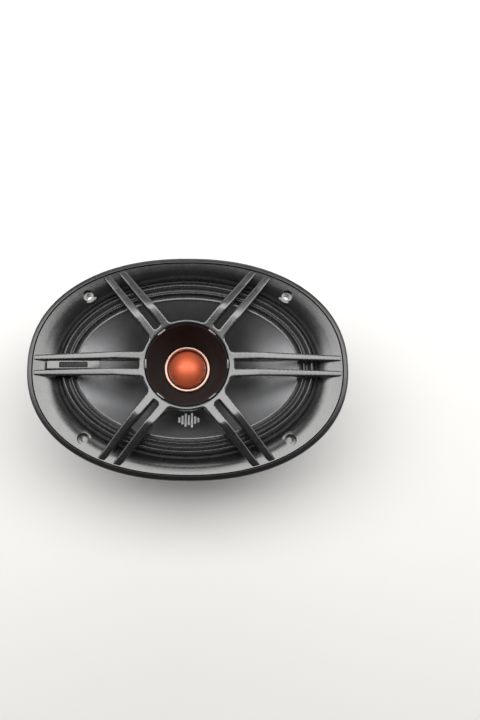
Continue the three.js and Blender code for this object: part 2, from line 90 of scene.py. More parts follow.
def smoothLine(points, perSpan=6):
    # a Catmull-Rom curve through the points
    points = [np.array(p, float) for p in points]
    padded = [2 * points[0] - points[1], *points, 2 * points[-1] - points[-2]]
    line = []
    for p0, p1, p2, p3 in zip(padded, padded[1:], padded[2:], padded[3:]):
        for k in range(perSpan):
            t = k / perSpan
            line.append(0.5 * (2 * p1 + (p2 - p0) * t + (2 * p0 - 5 * p1 + 4 * p2 - p3) * t ** 2
                               + (3 * p1 - p0 - 3 * p2 + p3) * t ** 3))
    return line + [points[-1]]


def thickened(line, half):
    # a closed profile of (a, b, z) round an open line, from inside to outside
    below = [(a, b, z - half) for a, b, z in line]
    above = [(a, b, z + half) for a, b, z in reversed(line)]
    return below + above


def finishMesh(piece, sharp=35):
    mesh = piece.data
    mesh.shade_smooth()
    mesh.set_sharp_from_angle(angle=math.radians(sharp))
    mesh.update()
    return piece


def newPiece(name, mesh):
    piece = bpy.data.objects.new(name, mesh)
    bpy.context.scene.collection.objects.link(piece)
    return piece


def ring(name, profile, segments=192, sharp=35):
    # sweeps a closed profile of (a, b, z) round the oval, with a UV map in metres
    bm = bmesh.new()
    uvLayer = bm.loops.layers.uv.new("UVMap")
    count = len(profile)
    columns = []
    for j in range(segments):
        turn = 2 * math.pi * j / segments
        columns.append([bm.verts.new(Vector((*ovalPoint(a, b, turn), z)) * mm) for a, b, z in profile])
    along = [0]
    for p, q in zip(profile, list(profile[1:]) + [profile[0]]):
        along.append(along[-1] + (Vector(q) - Vector(p)).length * mm)
    mean = sum(p[0] + p[1] for p in profile) / 2 / count
    around = 2 * math.pi * mean * mm / segments
    for j in range(segments):
        near, far = columns[j], columns[(j + 1) % segments]
        for i in range(count):
            k = (i + 1) % count
            face = bm.faces.new((near[i], far[i], far[k], near[k]))
            corners = ((j, i), (j + 1, i), (j + 1, i + 1), (j, i + 1))
            for loop, (u, v) in zip(face.loops, corners):
                loop[uvLayer].uv = (u * around, along[v])
    bmesh.ops.remove_doubles(bm, verts=bm.verts, dist=1e-6)
    bmesh.ops.dissolve_degenerate(bm, dist=1e-7, edges=bm.edges)
    bmesh.ops.recalc_face_normals(bm, faces=bm.faces)
    mesh = bpy.data.meshes.new(name)
    bm.to_mesh(mesh)
    bm.free()
    return finishMesh(newPiece(name, mesh), sharp)


def turned(name, profile, segments=96, edge=0.25, sharp=35):
    # a lathe piece from (radius, height) points; a profile that starts on the axis ends on it too
    onAxis = profile[0][0] == 0
    points = [(r, r, z) for r, z in profile]
    soft = roundCorners(points, edge, steps=3, closed=not onAxis)
    return ring(name, soft, segments, sharp)


def prism(name, outline, low, high, edge=0.0, steps=6):
    # an outline of (x, y, radius) corners, extruded from low to high, with bevelled edges
    flat = roundCorners([(x, y, 0) for x, y, r in outline], [r for x, y, r in outline], steps)
    bm = bmesh.new()
    base = bm.faces.new([bm.verts.new((p.x * mm, p.y * mm, low * mm)) for p in flat])
    lifted = bmesh.ops.extrude_face_region(bm, geom=[base])
    bmesh.ops.translate(bm, vec=(0, 0, (high - low) * mm),
                        verts=[v for v in lifted["geom"] if isinstance(v, bmesh.types.BMVert)])
    bmesh.ops.recalc_face_normals(bm, faces=bm.faces)
    if edge:
        rim = [e for e in bm.edges if len(e.link_faces) == 2 and e.calc_face_angle() > math.radians(50)]
        bmesh.ops.bevel(bm, geom=rim, offset=edge * mm, segments=3, profile=0.5, affect="EDGES")
    mesh = bpy.data.meshes.new(name)
    bm.to_mesh(mesh)
    bm.free()
    return finishMesh(newPiece(name, mesh))


def place(piece, turn=(0, 0, 0), at=(0, 0, 0)):
    # turns in degrees about the origin, then moves in millimetres, all of it in the mesh
    turnMatrix = Euler([math.radians(t) for t in turn]).to_matrix().to_4x4()
    piece.data.transform(turnMatrix)
    piece.data.transform(turnMatrix.Translation(Vector(at) * mm))
    piece.data.update()
    return piece


def joined(name, pieces):
    bm = bmesh.new()
    for piece in pieces:
        bm.from_mesh(piece.data)
        bpy.data.objects.remove(piece)
    mesh = bpy.data.meshes.new(name)
    bm.to_mesh(mesh)
    bm.free()
    return finishMesh(newPiece(name, mesh))


def plain(piece):
    # the evaluated shape as a plain mesh, with no modifiers left
    view = bpy.context.evaluated_depsgraph_get()
    mesh = bpy.data.meshes.new_from_object(piece.evaluated_get(view))
    piece.modifiers.clear()
    if piece.type == "MESH":
        piece.data = mesh
        return piece
    name = piece.name
    bpy.data.objects.remove(piece)
    return newPiece(name, mesh)


def cut(piece, cutters, sharp=35):
    # cuts all the cutters out of the piece at once
    tool = joined(piece.name + "Cutter", cutters)
    cutting = piece.modifiers.new("cut", "BOOLEAN")
    cutting.object = tool
    cutting.operation = "DIFFERENCE"
    cutting.solver = "EXACT"
    cutting.use_self = True
    plain(piece)
    bpy.data.objects.remove(tool)
    return finishMesh(piece, sharp)


def cylinder(radius, low, high, x=0.0, y=0.0, sides=48):
    rod = turned("rod", [(0, low), (radius, low), (radius, high), (0, high)], sides, 0)
    return place(rod, at=(x, y, 0))


def box(x, y, corner=0.0, shift=0.0):
    # the outline of a rectangle with half sizes x and y, for a prism
    left, right = shift - x, shift + x
    return [(left, -y, corner), (right, -y, corner), (right, y, corner), (left, y, corner)]


def onCircle(radius, degrees):
    return radius * math.cos(math.radians(degrees)), radius * math.sin(math.radians(degrees))


def settle(piece, body, nodes=(), material=None):
    # gives a finished piece its material, its body and the nodes that it stands for
    if material:
        piece.data.materials.clear()
        piece.data.materials.append(material)
    if body:
        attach(piece, body)
    if nodes:
        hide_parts(*nodes)
    return piece


# ---- camera ----

# The speaker stands off the lens's axis, so the camera has a shift both ways.
camera = {
    "place": (0.0077, -0.0695, 0.5393),  # metres
    "tilt": (11.48, 1.16, 0.15),  # degrees about X, Y and Z
    "lens": 30.7, "sensor": 36, "shift": (0.0765, -0.0318), "nearest": 0.01,
}
lensData = bpy.data.cameras.new("camera")
lensData.lens = camera["lens"]
lensData.sensor_width = camera["sensor"]
lensData.shift_x, lensData.shift_y = camera["shift"]
lensData.clip_start = camera["nearest"]
cameraPiece = bpy.data.objects.new("camera", lensData)
bpy.context.scene.collection.objects.link(cameraPiece)
tiltX, tiltY, tiltZ = (math.radians(t) for t in camera["tilt"])
tiltMatrix = (Euler((tiltX, 0, 0)).to_matrix() @ Euler((0, tiltY, 0)).to_matrix()
              @ Euler((0, 0, tiltZ)).to_matrix())
cameraPiece.matrix_world = tiltMatrix.to_4x4()
cameraPiece.location = camera["place"]
bpy.context.scene.camera = cameraPiece

# ---- materials ----


class Recipe:
    # a node material that starts from a Principled shader and Object coordinates
    def __init__(self, name, color, roughness, metallic=0.0):
        self.material = bpy.data.materials.new(name)
        self.material.use_nodes = True
        self.nodes = self.material.node_tree.nodes
        self.links = self.material.node_tree.links
        self.shader = self.nodes["Principled BSDF"]
        self.shader.inputs["Base Color"].default_value = (*color, 1)
        self.shader.inputs["Roughness"].default_value = roughness
        self.shader.inputs["Metallic"].default_value = metallic
        self.where = self.add("ShaderNodeTexCoord")
        self.height = None

    def add(self, kind, **values):
        node = self.nodes.new(kind)
        for key, value in values.items():
            if hasattr(node, key):
                setattr(node, key, value)
            else:
                node.inputs[key].default_value = value
        return node

    def coordinates(self, scale=(1, 1, 1)):
        mapping = self.add("ShaderNodeMapping")
        mapping.inputs["Scale"].default_value = scale
        self.links.new(self.where.outputs["Object"], mapping.inputs["Vector"])
        return mapping.outputs["Vector"]

    def noise(self, size, detail=3.0, scale=(1, 1, 1)):
        # size is the width of one grain in millimetres
        node = self.add("ShaderNodeTexNoise", Scale=1 / (size * mm), Detail=detail)
        self.links.new(self.coordinates(scale), node.inputs["Vector"])
        return node.outputs["Fac"]

    def math(self, operation, first, second=0.0):
        node = self.add("ShaderNodeMath", operation=operation)
        for socket, value in zip(node.inputs, (first, second)):
            if isinstance(value, (int, float)):
                socket.default_value = value
            else:
                self.links.new(value, socket)
        return node.outputs["Value"]

    def spread(self, value, low, high, fromLow=0.3, fromHigh=0.7):
        node = self.add("ShaderNodeMapRange")
        limits = {"From Min": fromLow, "From Max": fromHigh, "To Min": low, "To Max": high}
        for key, number in limits.items():
            node.inputs[key].default_value = number
        self.links.new(value, node.inputs["Value"])
        return node.outputs["Result"]

    def roughness(self, value, low, high):
        self.links.new(self.spread(value, low, high), self.shader.inputs["Roughness"])

    def tint(self, value, first, second):
        node = self.add("ShaderNodeMix", data_type="RGBA")
        colorSockets = [s for s in node.inputs if s.type == "RGBA"]
        colorSockets[0].default_value = (*first, 1)
        colorSockets[1].default_value = (*second, 1)
        self.links.new(value, node.inputs["Factor"])
        output = [s for s in node.outputs if s.type == "RGBA"][0]
        self.links.new(output, self.shader.inputs["Base Color"])

    def bump(self, value, depth, strength=1.0):
        # depth is in millimetres; calls add up
        node = self.add("ShaderNodeBump", Strength=strength, Distance=depth * mm)
        self.links.new(value, node.inputs["Height"])
        if self.height:
            self.links.new(self.height, node.inputs["Normal"])
        self.height = node.outputs["Normal"]
        self.links.new(self.height, self.shader.inputs["Normal"])

    def weave(self, pitch):
        # over-and-under threads along and across the UV map
        split = self.add("ShaderNodeSeparateXYZ")
        self.links.new(self.where.outputs["UV"], split.inputs["Vector"])
        turns = math.pi / (pitch * mm)
        across = self.math("SINE", self.math("MULTIPLY", split.outputs["X"], turns))
        down = self.math("SINE", self.math("MULTIPLY", split.outputs["Y"], turns))
        return self.math("ADD", self.math("MULTIPLY", self.math("MULTIPLY", across, down), 0.5), 0.5)


def mouldedPlastic(name, color, low, high, grain=0.22, depth=0.02, shine=0.5, coat=0.0):
    recipe = Recipe(name, color, low)
    recipe.shader.inputs["Specular IOR Level"].default_value = shine
    recipe.shader.inputs["Coat Weight"].default_value = coat
    recipe.shader.inputs["Coat Roughness"].default_value = 0.3
    darker = tuple(c * 0.82 for c in color)
    lighter = tuple(min(c * 1.15, 1) for c in color)
    recipe.tint(recipe.spread(recipe.noise(14, 4), 0, 1), darker, lighter)
    recipe.roughness(recipe.noise(5, 5), low, high)
    recipe.bump(recipe.noise(grain, 4), depth)
    recipe.bump(recipe.noise(9, 2), depth * 3, 0.25)
    return recipe.material


def pulp(name, color, fleck, low=0.55, high=0.85, shine=0.5, metallic=0.0):
    recipe = Recipe(name, color, high, metallic)
    recipe.shader.inputs["Specular IOR Level"].default_value = shine
    fibres = recipe.noise(0.9, 6, scale=(1, 2.6, 1))
    base = recipe.spread(recipe.noise(7, 5), 0, 1)
    flecks = recipe.spread(recipe.noise(0.55, 2), 0, 1, 0.66, 0.72)
    recipe.tint(recipe.math("MAXIMUM", recipe.math("MULTIPLY", base, 0.25), flecks), color, fleck)
    recipe.roughness(fibres, low, high)
    recipe.bump(fibres, 0.05)
    recipe.bump(recipe.noise(0.35, 3), 0.03)
    return recipe.material


def coatedCloth(name, color, lighter, pitch, low, high, shine=0.4, coat=0.0):
    recipe = Recipe(name, color, low)
    threads = recipe.weave(pitch)
    patches = recipe.spread(recipe.noise(6, 4), 0, 1)
    recipe.tint(recipe.math("MULTIPLY", threads, patches), color, lighter)
    recipe.roughness(patches, low, high)
    recipe.shader.inputs["Sheen Weight"].default_value = 0.1
    recipe.shader.inputs["Specular IOR Level"].default_value = shine
    recipe.shader.inputs["Coat Weight"].default_value = coat
    recipe.shader.inputs["Coat Roughness"].default_value = 0.25
    recipe.bump(threads, 0.03)
    recipe.bump(recipe.noise(0.5, 3), 0.006)
    return recipe.material


def powderCoat(name, color):
    recipe = Recipe(name, color, 0.4)
    recipe.roughness(recipe.noise(4, 4), 0.32, 0.48)
    recipe.tint(recipe.spread(recipe.noise(20, 4), 0, 1), color, tuple(c * 1.5 for c in color))
    recipe.bump(recipe.noise(0.7, 3), 0.03)
    return recipe.material


def ceramic(name, color):
    recipe = Recipe(name, color, 0.6)
    flecks = recipe.spread(recipe.noise(0.5, 4), 0, 1, 0.55, 0.75)
    recipe.tint(flecks, color, tuple(c * 2.2 for c in color))
    recipe.roughness(recipe.noise(3, 5), 0.45, 0.75)
    recipe.bump(recipe.noise(0.6, 5), 0.05)
    return recipe.material


def plated(name, color, low, high, line=0.4):
    # a metal with fine marks of its making and a little cloudiness
    recipe = Recipe(name, color, low, 1.0)
    recipe.tint(recipe.spread(recipe.noise(3, 4), 0, 1), tuple(c * 0.88 for c in color), color)
    recipe.roughness(recipe.noise(2, 5), low, high)
    recipe.bump(recipe.noise(line, 3, scale=(1, 1, 8)), 0.006)
    return recipe.material


def anodised(name, color, edge, low, high):
    recipe = Recipe(name, color, low, 0.5)
    recipe.tint(recipe.spread(recipe.noise(5, 4), 0, 1), color, edge)
    recipe.roughness(recipe.noise(1.4, 5), low, high)
    recipe.shader.inputs["Coat Weight"].default_value = 0.15
    recipe.shader.inputs["Coat Roughness"].default_value = 0.35
    recipe.bump(recipe.noise(0.25, 3), 0.006)
    return recipe.material


def foamSheet(name, color):
    recipe = Recipe(name, color, 0.95)
    cells = recipe.add("ShaderNodeTexVoronoi", Scale=1 / (0.7 * mm))
    recipe.links.new(recipe.coordinates(), cells.inputs["Vector"])
    recipe.tint(cells.outputs["Distance"], tuple(c * 1.8 for c in color), color)
    recipe.bump(cells.outputs["Distance"], 0.15, 0.7)
    return recipe.material


def film(name, color, roughness=0.3, glow=0.0):
    recipe = Recipe(name, color, roughness)
    # glow is painted light: the film gives off light of its own colour
    recipe.shader.inputs["Emission Color"].default_value = (*color, 1)
    recipe.shader.inputs["Emission Strength"].default_value = glow
    recipe.roughness(recipe.noise(2, 3), roughness * 0.8, roughness * 1.4)
    recipe.tint(recipe.spread(recipe.noise(4, 3), 0, 1), color, tuple(c * 0.8 for c in color))
    recipe.shader.inputs["Coat Weight"].default_value = 0.3
    recipe.bump(recipe.noise(1.2, 2), 0.01)
    return recipe.material


def braid(name, color, pitch):
    recipe = Recipe(name, color, 0.35, 1.0)
    threads = recipe.weave(pitch)
    recipe.tint(threads, tuple(c * 0.35 for c in color), color)
    recipe.roughness(recipe.noise(0.6, 3), 0.28, 0.5)
    recipe.bump(threads, 0.08)
    return recipe.material


def paleSheet(name, color):
    recipe = Recipe(name, color, 0.6)
    recipe.roughness(recipe.noise(60, 3), 0.55, 0.65)
    recipe.bump(recipe.noise(1.2, 3), 0.01)
    return recipe.material


finishes = {
    "grille": mouldedPlastic("satinPlastic", (0.008, 0.0082, 0.0086), 0.23, 0.31, shine=1.0, coat=1.0),
    "trim": mouldedPlastic("softPlastic", (0.006, 0.006, 0.0062), 0.28, 0.36, 0.3, shine=0.9),
    "bowl": mouldedPlastic("mattePlastic", (0.013, 0.016, 0.016), 0.5, 0.6, shine=0.15),
    "block": mouldedPlastic("blockPlastic", (0.012, 0.012, 0.013), 0.5, 0.65),
    "paper": pulp("conePulp", (0.3, 0.303, 0.312), (0.42, 0.423, 0.432), 0.38, 0.48, metallic=0.9),
    "surround": coatedCloth("coatedCloth", (0.004, 0.004, 0.0045), (0.014, 0.014, 0.015), 0.55, 0.22, 0.32,
                            shine=0.9, coat=0.6),
    "spiderCloth": coatedCloth("spiderCloth", (0.42, 0.26, 0.06), (0.62, 0.42, 0.13), 0.6, 0.7, 0.9),
    "steel": powderCoat("powderCoat", (0.014, 0.014, 0.015)),
    "ferrite": ceramic("ferrite", (0.03, 0.03, 0.033)),
    "zinc": plated("zincPlate", (0.6, 0.61, 0.63), 0.25, 0.42),
    "nickel": plated("nickelPlate", (0.66, 0.64, 0.6), 0.12, 0.25),
    "brass": plated("brassPlate", (0.72, 0.52, 0.2), 0.2, 0.35),
    "rose": plated("roseMetal", (0.5, 0.3, 0.23), 0.3, 0.4),
    "orange": anodised("orangeDome", (0.8, 0.15, 0.06), (0.86, 0.18, 0.075), 0.5, 0.58),
    # the tweeter's roll is dark rubber; its red tint is a painted reflection of the orange dome
    "rubberAndDomeReflection": film("grooveRubber", (0.035, 0.008, 0.005), 0.5),
    "foam": foamSheet("gasketFoam", (0.012, 0.012, 0.012)),
    "fibre": pulp("fibreBoard", (0.01, 0.01, 0.01), (0.03, 0.03, 0.03)),
    "amber": film("amberFilm", (0.34, 0.13, 0.02), 0.25),
    "copper": braid("copperBraid", (0.72, 0.32, 0.18), 0.35),
    "sleeve": film("blueSleeve", (0.015, 0.045, 0.16), 0.25),
    "redWire": film("redInsulation", (0.35, 0.012, 0.01), 0.35),
    "blackWire": film("blackInsulation", (0.012, 0.012, 0.012), 0.35),
    # the white print has a painted glow of its own, so that it reads white in the shade of the hub
    "print": film("whitePrint", (0.95, 0.95, 0.95), 0.35, glow=0.14),
    "floor": paleSheet("paleFloor", (0.86, 0.85, 0.83)),
}
print("materials made:", len(finishes))

# ---- Geometry Nodes for what repeats or follows a path ----


def newTree(name, sockets):
    tree = bpy.data.node_groups.new(name, "GeometryNodeTree")
    tree.interface.new_socket("Geometry", in_out="INPUT", socket_type="NodeSocketGeometry")
    tree.interface.new_socket("Geometry", in_out="OUTPUT", socket_type="NodeSocketGeometry")
    for label, kind, value in sockets:
        socket = tree.interface.new_socket(label, in_out="INPUT", socket_type="NodeSocket" + kind)
        if value is not None:
            socket.default_value = value
    return tree, tree.nodes.new("NodeGroupInput"), tree.nodes.new("NodeGroupOutput")


def endTree(tree, source, groupIn, groupOut):
    real = tree.nodes.new("GeometryNodeRealizeInstances")
    paint = tree.nodes.new("GeometryNodeSetMaterial")
    smooth = tree.nodes.new("GeometryNodeSetShadeSmooth")
    tree.links.new(source, real.inputs["Geometry"])
    tree.links.new(real.outputs["Geometry"], smooth.inputs["Geometry"])
    tree.links.new(smooth.outputs["Geometry"], paint.inputs["Geometry"])
    tree.links.new(groupIn.outputs["Material"], paint.inputs["Material"])
    tree.links.new(paint.outputs["Geometry"], groupOut.inputs["Geometry"])


def repeatTree():
    # one shape at every point of a mesh, turned to the point's normal
    tree, groupIn, groupOut = newTree("repeatOnPoints", [
        ("Shape", "Object", None),
        ("Material", "Material", None),
        ("Size spread", "Float", 0.0),
        ("Seed", "Int", 1),
    ])
    shape = tree.nodes.new("GeometryNodeObjectInfo")
    spots = tree.nodes.new("GeometryNodeInstanceOnPoints")
    facing = tree.nodes.new("FunctionNodeAlignRotationToVector")
    facing.axis = "X"
    facing.pivot_axis = "Z"
    normal = tree.nodes.new("GeometryNodeInputNamedAttribute")
    normal.data_type = "FLOAT_VECTOR"
    normal.inputs["Name"].default_value = "outward"
    size = tree.nodes.new("FunctionNodeRandomValue")
    smallest = tree.nodes.new("ShaderNodeMath")
    smallest.operation = "SUBTRACT"
    smallest.inputs[0].default_value = 1
    tree.links.new(groupIn.outputs["Shape"], shape.inputs["Object"])
    tree.links.new(groupIn.outputs["Geometry"], spots.inputs["Points"])
    tree.links.new(shape.outputs["Geometry"], spots.inputs["Instance"])
    tree.links.new(normal.outputs["Attribute"], facing.inputs["Vector"])
    tree.links.new(facing.outputs["Rotation"], spots.inputs["Rotation"])
    tree.links.new(groupIn.outputs["Size spread"], smallest.inputs[1])
    tree.links.new(smallest.outputs["Value"], size.inputs[2])
    tree.links.new(groupIn.outputs["Seed"], size.inputs["Seed"])
    tree.links.new(size.outputs[1], spots.inputs["Scale"])
    endTree(tree, spots.outputs["Instances"], groupIn, groupOut)
    return tree


def wireTree():
    # a round wire along a curve
    tree, groupIn, groupOut = newTree("wireOnPath", [
        ("Radius", "Float", 0.0006),
        ("Sides", "Int", 16),
        ("Material", "Material", None),
    ])
    section = tree.nodes.new("GeometryNodeCurvePrimitiveCircle")
    sweep = tree.nodes.new("GeometryNodeCurveToMesh")
    sweep.inputs["Fill Caps"].default_value = True
    tree.links.new(groupIn.outputs["Radius"], section.inputs["Radius"])
    tree.links.new(groupIn.outputs["Sides"], section.inputs["Resolution"])
    tree.links.new(groupIn.outputs["Geometry"], sweep.inputs["Curve"])
    tree.links.new(section.outputs["Curve"], sweep.inputs["Profile Curve"])
    endTree(tree, sweep.outputs["Mesh"], groupIn, groupOut)
    return tree


repeatOnPoints = repeatTree()
wireOnPath = wireTree()


def setInputs(modifier, **values):
    for item in modifier.node_group.interface.items_tree:
        key = item.name.replace(" ", "_")
        if item.in_out == "INPUT" and key in values:
            modifier[item.identifier] = values[key]


def repeated(name, shape, spots, material, spread=0.0, seed=1):
    # spots are (place in millimetres, outward direction)
    mesh = bpy.data.meshes.new(name)
    mesh.from_pydata([Vector(p) * mm for p, _ in spots], [], [])
    outward = mesh.attributes.new("outward", "FLOAT_VECTOR", "POINT")
    outward.data.foreach_set("vector", [c for _, d in spots for c in d])
    piece = newPiece(name, mesh)
    nodes = piece.modifiers.new("repeat", "NODES")
    nodes.node_group = repeatOnPoints
    setInputs(nodes, Shape=shape, Material=material, Size_spread=spread, Seed=seed)
    plain(piece)
    bpy.data.objects.remove(shape)
    return finishMesh(piece)


def wire(name, points, radius, material, sides=16):
    curve = bpy.data.curves.new(name, "CURVE")
    curve.dimensions = "3D"
    line = smoothLine(points, 8)
    spline = curve.splines.new("POLY")
    spline.points.add(len(line) - 1)
    for point, p in zip(spline.points, line):
        point.co = (*(p * mm), 1)
    path = newPiece(name + "Path", curve)
    nodes = path.modifiers.new("wire", "NODES")
    nodes.node_group = wireOnPath
    setInputs(nodes, Radius=radius * mm, Sides=sides, Material=material)
    mesh = bpy.data.meshes.new_from_object(path.evaluated_get(bpy.context.evaluated_depsgraph_get()))
    bpy.data.objects.remove(path)
    piece = newPiece(name, mesh)
    addWireMap(piece, line, radius)
    return finishMesh(piece)


def addWireMap(piece, line, radius):
    # lays the UV map along the wire, from the nearest point of its path
    path = np.array(line) * mm
    steps = np.concatenate([[0], np.cumsum(np.linalg.norm(np.diff(path, axis=0), axis=1))])
    uv = piece.data.uv_layers.get("UVMap") or piece.data.uv_layers.new(name="UVMap")
    for polygon in piece.data.polygons:
        for loop in polygon.loop_indices:
            p = np.array(piece.data.vertices[piece.data.loops[loop].vertex_index].co)
            near = int(np.argmin(np.linalg.norm(path - p, axis=1)))
            d = p - path[near]
            uv.data[loop].uv = (steps[near], math.atan2(d[2], d[0] + d[1]) * radius * mm)


# ---- grille: dish, spokes and hub ----

dish = {
    "edge": 114.3, "wall": 2.0, "rimZ": 92.0, "skirtZ": 80.3,
    # half length of each ring, and how far below the rim it lies
    "front": [(114.1, 0), (110.4, 0.75), (106.4, 1.9), (102.6, 4.0), (99.6, 6.6), (98.0, 8.4)],
    "back": [(98.3, 9.2), (101.0, 7.6), (104.0, 5.2), (108.0, 3.4), (112.3, 2.5)],
    "holeX": 75.4, "holeY": 53.7, "holeR": 2.2, "counterboreR": 4.0, "counterboreZ": 86.0,
    "bossR": 6.3, "bossShoulderZ": 87.6, "bossTopR": 5.1, "bossTopZ": 88.2,
}
panelHoles = [(sx * dish["holeX"], sy * dish["holeY"]) for sx in (-1, 1) for sy in (-1, 1)]


def makeDish():
    z = dish["rimZ"]
    front = smoothLine([(a, z - down) for a, down in dish["front"]], 5)
    back = smoothLine([(a, z - down) for a, down in dish["back"]], 3)
    inner = dish["edge"] - dish["wall"]
    profile = [(dish["edge"], dish["skirtZ"]), (dish["edge"], z - 0.25), *front, *back,
               (inner, dish["skirtZ"])]
    piece = ring("grilleDish", concentric(profile), 256)
    cutters = []
    for x, y in panelHoles:
        cutters.append(cylinder(dish["holeR"], 78, 87, x, y))
        cutters.append(cylinder(dish["counterboreR"], dish["counterboreZ"], 96, x, y))
    return cut(piece, cutters, 30)


def makeScrewSeats():
    # the bosses round the four panel screw holes, under the dish
    wall = [(dish["holeR"], dish["skirtZ"]), (dish["bossR"], dish["skirtZ"]),
            (dish["bossR"], dish["bossShoulderZ"]), (dish["bossTopR"], dish["bossTopZ"]),
            (dish["counterboreR"], dish["bossTopZ"]), (dish["counterboreR"], dish["counterboreZ"]),
            (dish["holeR"], dish["counterboreZ"])]
    seats = [place(turned("seat", wall, 48, 0.15), at=(x, y, 0)) for x, y in panelHoles]
    return joined("grilleScrewSeats", seats)


spokes = {
    "angles": (0, 51.5, 128.5, 180, 231.5, 308.5),
    "bore": 30.6, "hub": 33.2, "tip": 113.9, "halfAtHub": 9.2, "halfAtRim": 7.7,
    "levelSlot": (3.3, 3.6), "slantSlot": (2.5, 3.2), "slotStart": 34.6,
    "windowFillet": 2.5, "slotFillet": 1.5, "edgeRound": 1.0, "draft": 0.06,
    "cell": 0.58, "quickCell": 1.044, "farAway": 5.0, "low": (-116, -81, 82.2), "high": (116, 81, 103.5),
}
# half length, half width and height of the rings that the spokes' top and underside run through
spokeTop = [(30.6, 30.6, 98.6), (36, 35.4, 99.5), (44, 41.6, 100.8), (50, 46, 101.6), (54, 48.6, 101.8),
            (61, 52.4, 101.0), (76, 59.5, 98.5), (95, 69.0, 95.2), (113.9, 78.4, 92.0)]
spokeUnder = [(30.6, 30.6, 91.4), (42, 39.5, 91.8), (54, 46, 92.0), (66, 50.5, 92.3), (78, 54.5, 92.8),
              (95.4, 65.7, 92.4), (96.6, 66.6, 90.5), (98.2, 67.6, 84.4), (101.0, 69.5, 84.0),
              (113.9, 78.4, 88.0)]


def blendMax(a, b, width):
    return np.maximum(a, b) + np.maximum(width - np.abs(a - b), 0) ** 2 / (4 * width)


def blendMin(a, b, width):
    return -blendMax(-a, -b, width)


def ovalReach(a, b, turn):
    # distance from the centre to the oval in each direction
    n = fullness(a, b)
    return (np.abs(np.cos(turn) / a) ** n + np.abs(np.sin(turn) / b) ** n) ** (-1 / n)


def heightOver(rings, r, turn):
    # height of a surface through oval rings, at each point
    line = smoothLine(rings, 4)
    reach = [ovalReach(a, b, turn) for a, b, _ in line]
    height = np.full(r.shape, line[0][2])
    for k in range(len(line) - 1):
        share = np.clip((r - reach[k]) / (reach[k + 1] - reach[k]), 0, 1)
        height = np.where(r >= reach[k], line[k][2] + (line[k + 1][2] - line[k][2]) * share, height)
    return height


def makeSpokes():
    # the spokes are a field of distances on a grid of cells, and the mesh is its zero surface
    cell = spokes["cell"]
    low, high = np.array(spokes["low"]), np.array(spokes["high"])
    axes = [np.arange(start, end, cell) for start, end in zip(low, high)]
    x, y = np.meshgrid(axes[0], axes[1], indexing="ij")
    r, turn = np.hypot(x, y), np.arctan2(y, x)
    plan = r - spokes["hub"]
    slots = np.full(x.shape, 99.0)
    for degrees in spokes["angles"]:
        c, s = onCircle(1, degrees)
        along, across = x * c + y * s, np.abs(y * c - x * s)
        share = np.clip((along - spokes["hub"]) / (spokes["tip"] - spokes["hub"]), 0, 1)
        half = spokes["halfAtHub"] + (spokes["halfAtRim"] - spokes["halfAtHub"]) * share
        slotAtHub, slotAtRim = spokes["levelSlot"] if degrees % 180 == 0 else spokes["slantSlot"]
        slotHalf = slotAtHub + (slotAtRim - slotAtHub) * share
        plan = blendMin(plan, np.maximum(across - half, -along), spokes["windowFillet"])
        slots = np.minimum(slots, blendMax(across - slotHalf, spokes["slotStart"] - along,
                                          spokes["slotFillet"]))
    plan = np.maximum(np.maximum(plan, -slots), spokes["bore"] - r)
    plan = np.maximum(plan, r - ovalReach(spokes["tip"], halfWidth(spokes["tip"]), turn))
    top = heightOver(spokeTop, r, turn)[:, :, None]
    under = heightOver(spokeUnder, r, turn)[:, :, None]
    z = axes[2][None, None, :]
    body = plan[:, :, None] - spokes["draft"] * (top - z)
    body = blendMax(body, (z - top) * 0.98, spokes["edgeRound"])
    body = blendMax(body, under - z, spokes["edgeRound"] * 0.6)
    grid = openvdb.FloatGrid(spokes["farAway"])
    grid.copyFromArray(body.astype(np.float32))
    points, triangles, quads = grid.convertToPolygons(0.0, 0.0)
    mesh = bpy.data.meshes.new("grilleSpokes")
    faces = [tuple(int(i) for i in f) for f in list(quads) + list(triangles)]
    mesh.from_pydata([tuple(p) for p in (points * cell + low) * mm], [], faces)
    bm = bmesh.new()
    bm.from_mesh(mesh)
    bmesh.ops.recalc_face_normals(bm, faces=bm.faces)
    bm.to_mesh(mesh)
    bm.free()
    print("spokes:", len(mesh.polygons), "faces")
    return finishMesh(newPiece("grilleSpokes", mesh), 50)


settle(makeDish(), "frame", ["grille"], finishes["grille"])
settle(makeScrewSeats(), "frame", ["grille"], finishes["grille"])
settle(makeSpokes(), "frame", ["grille"], finishes["grille"])
print("grille made")

# ---- trim ring ----

trim = {
    "line": [(114.75, 91.6), (114.75, 82.2), (114.6, 80.4), (114.6, 78.2), (112.1, 78.2), (112.1, 76.4),
             (117.2, 76.4), (118.3, 78.0), (118.8, 84.0), (118.8, 90.4), (117.8, 91.7), (114.9, 92.5)],
    "rounding": [0.2, 0.3, 0.3, 0.2, 0.2, 0.2, 0.8, 1.2, 2.4, 1.1, 1.1, 0.3],
}
trimRing = ring("trimRing", roundCorners(concentric(trim["line"]), trim["rounding"]), 256)
settle(trimRing, "frame", ["trim_ring"], finishes["trim"])

# ---- name plate between the bars of the left spoke ----

namePlate = {
    "length": 39.8, "width": 6.2, "thick": 1.8, "tilt": 4.3, "at": (-83.5, 0, 94.8),
    "window": (21.4, 4.2), "shift": 0.2, "gap": 0.6, "insertLow": -1.6, "insertTop": -0.9,
    "ribs": 9, "ribPitch": 2.15, "ribHalf": (0.45, 1.7), "ribLow": -0.95, "ribTop": -0.45,
}


def slab(name, length, width, low, high, corner, edge, shift=0.0):
    return prism(name, box(length / 2, width / 2, corner, shift), low, high, edge)


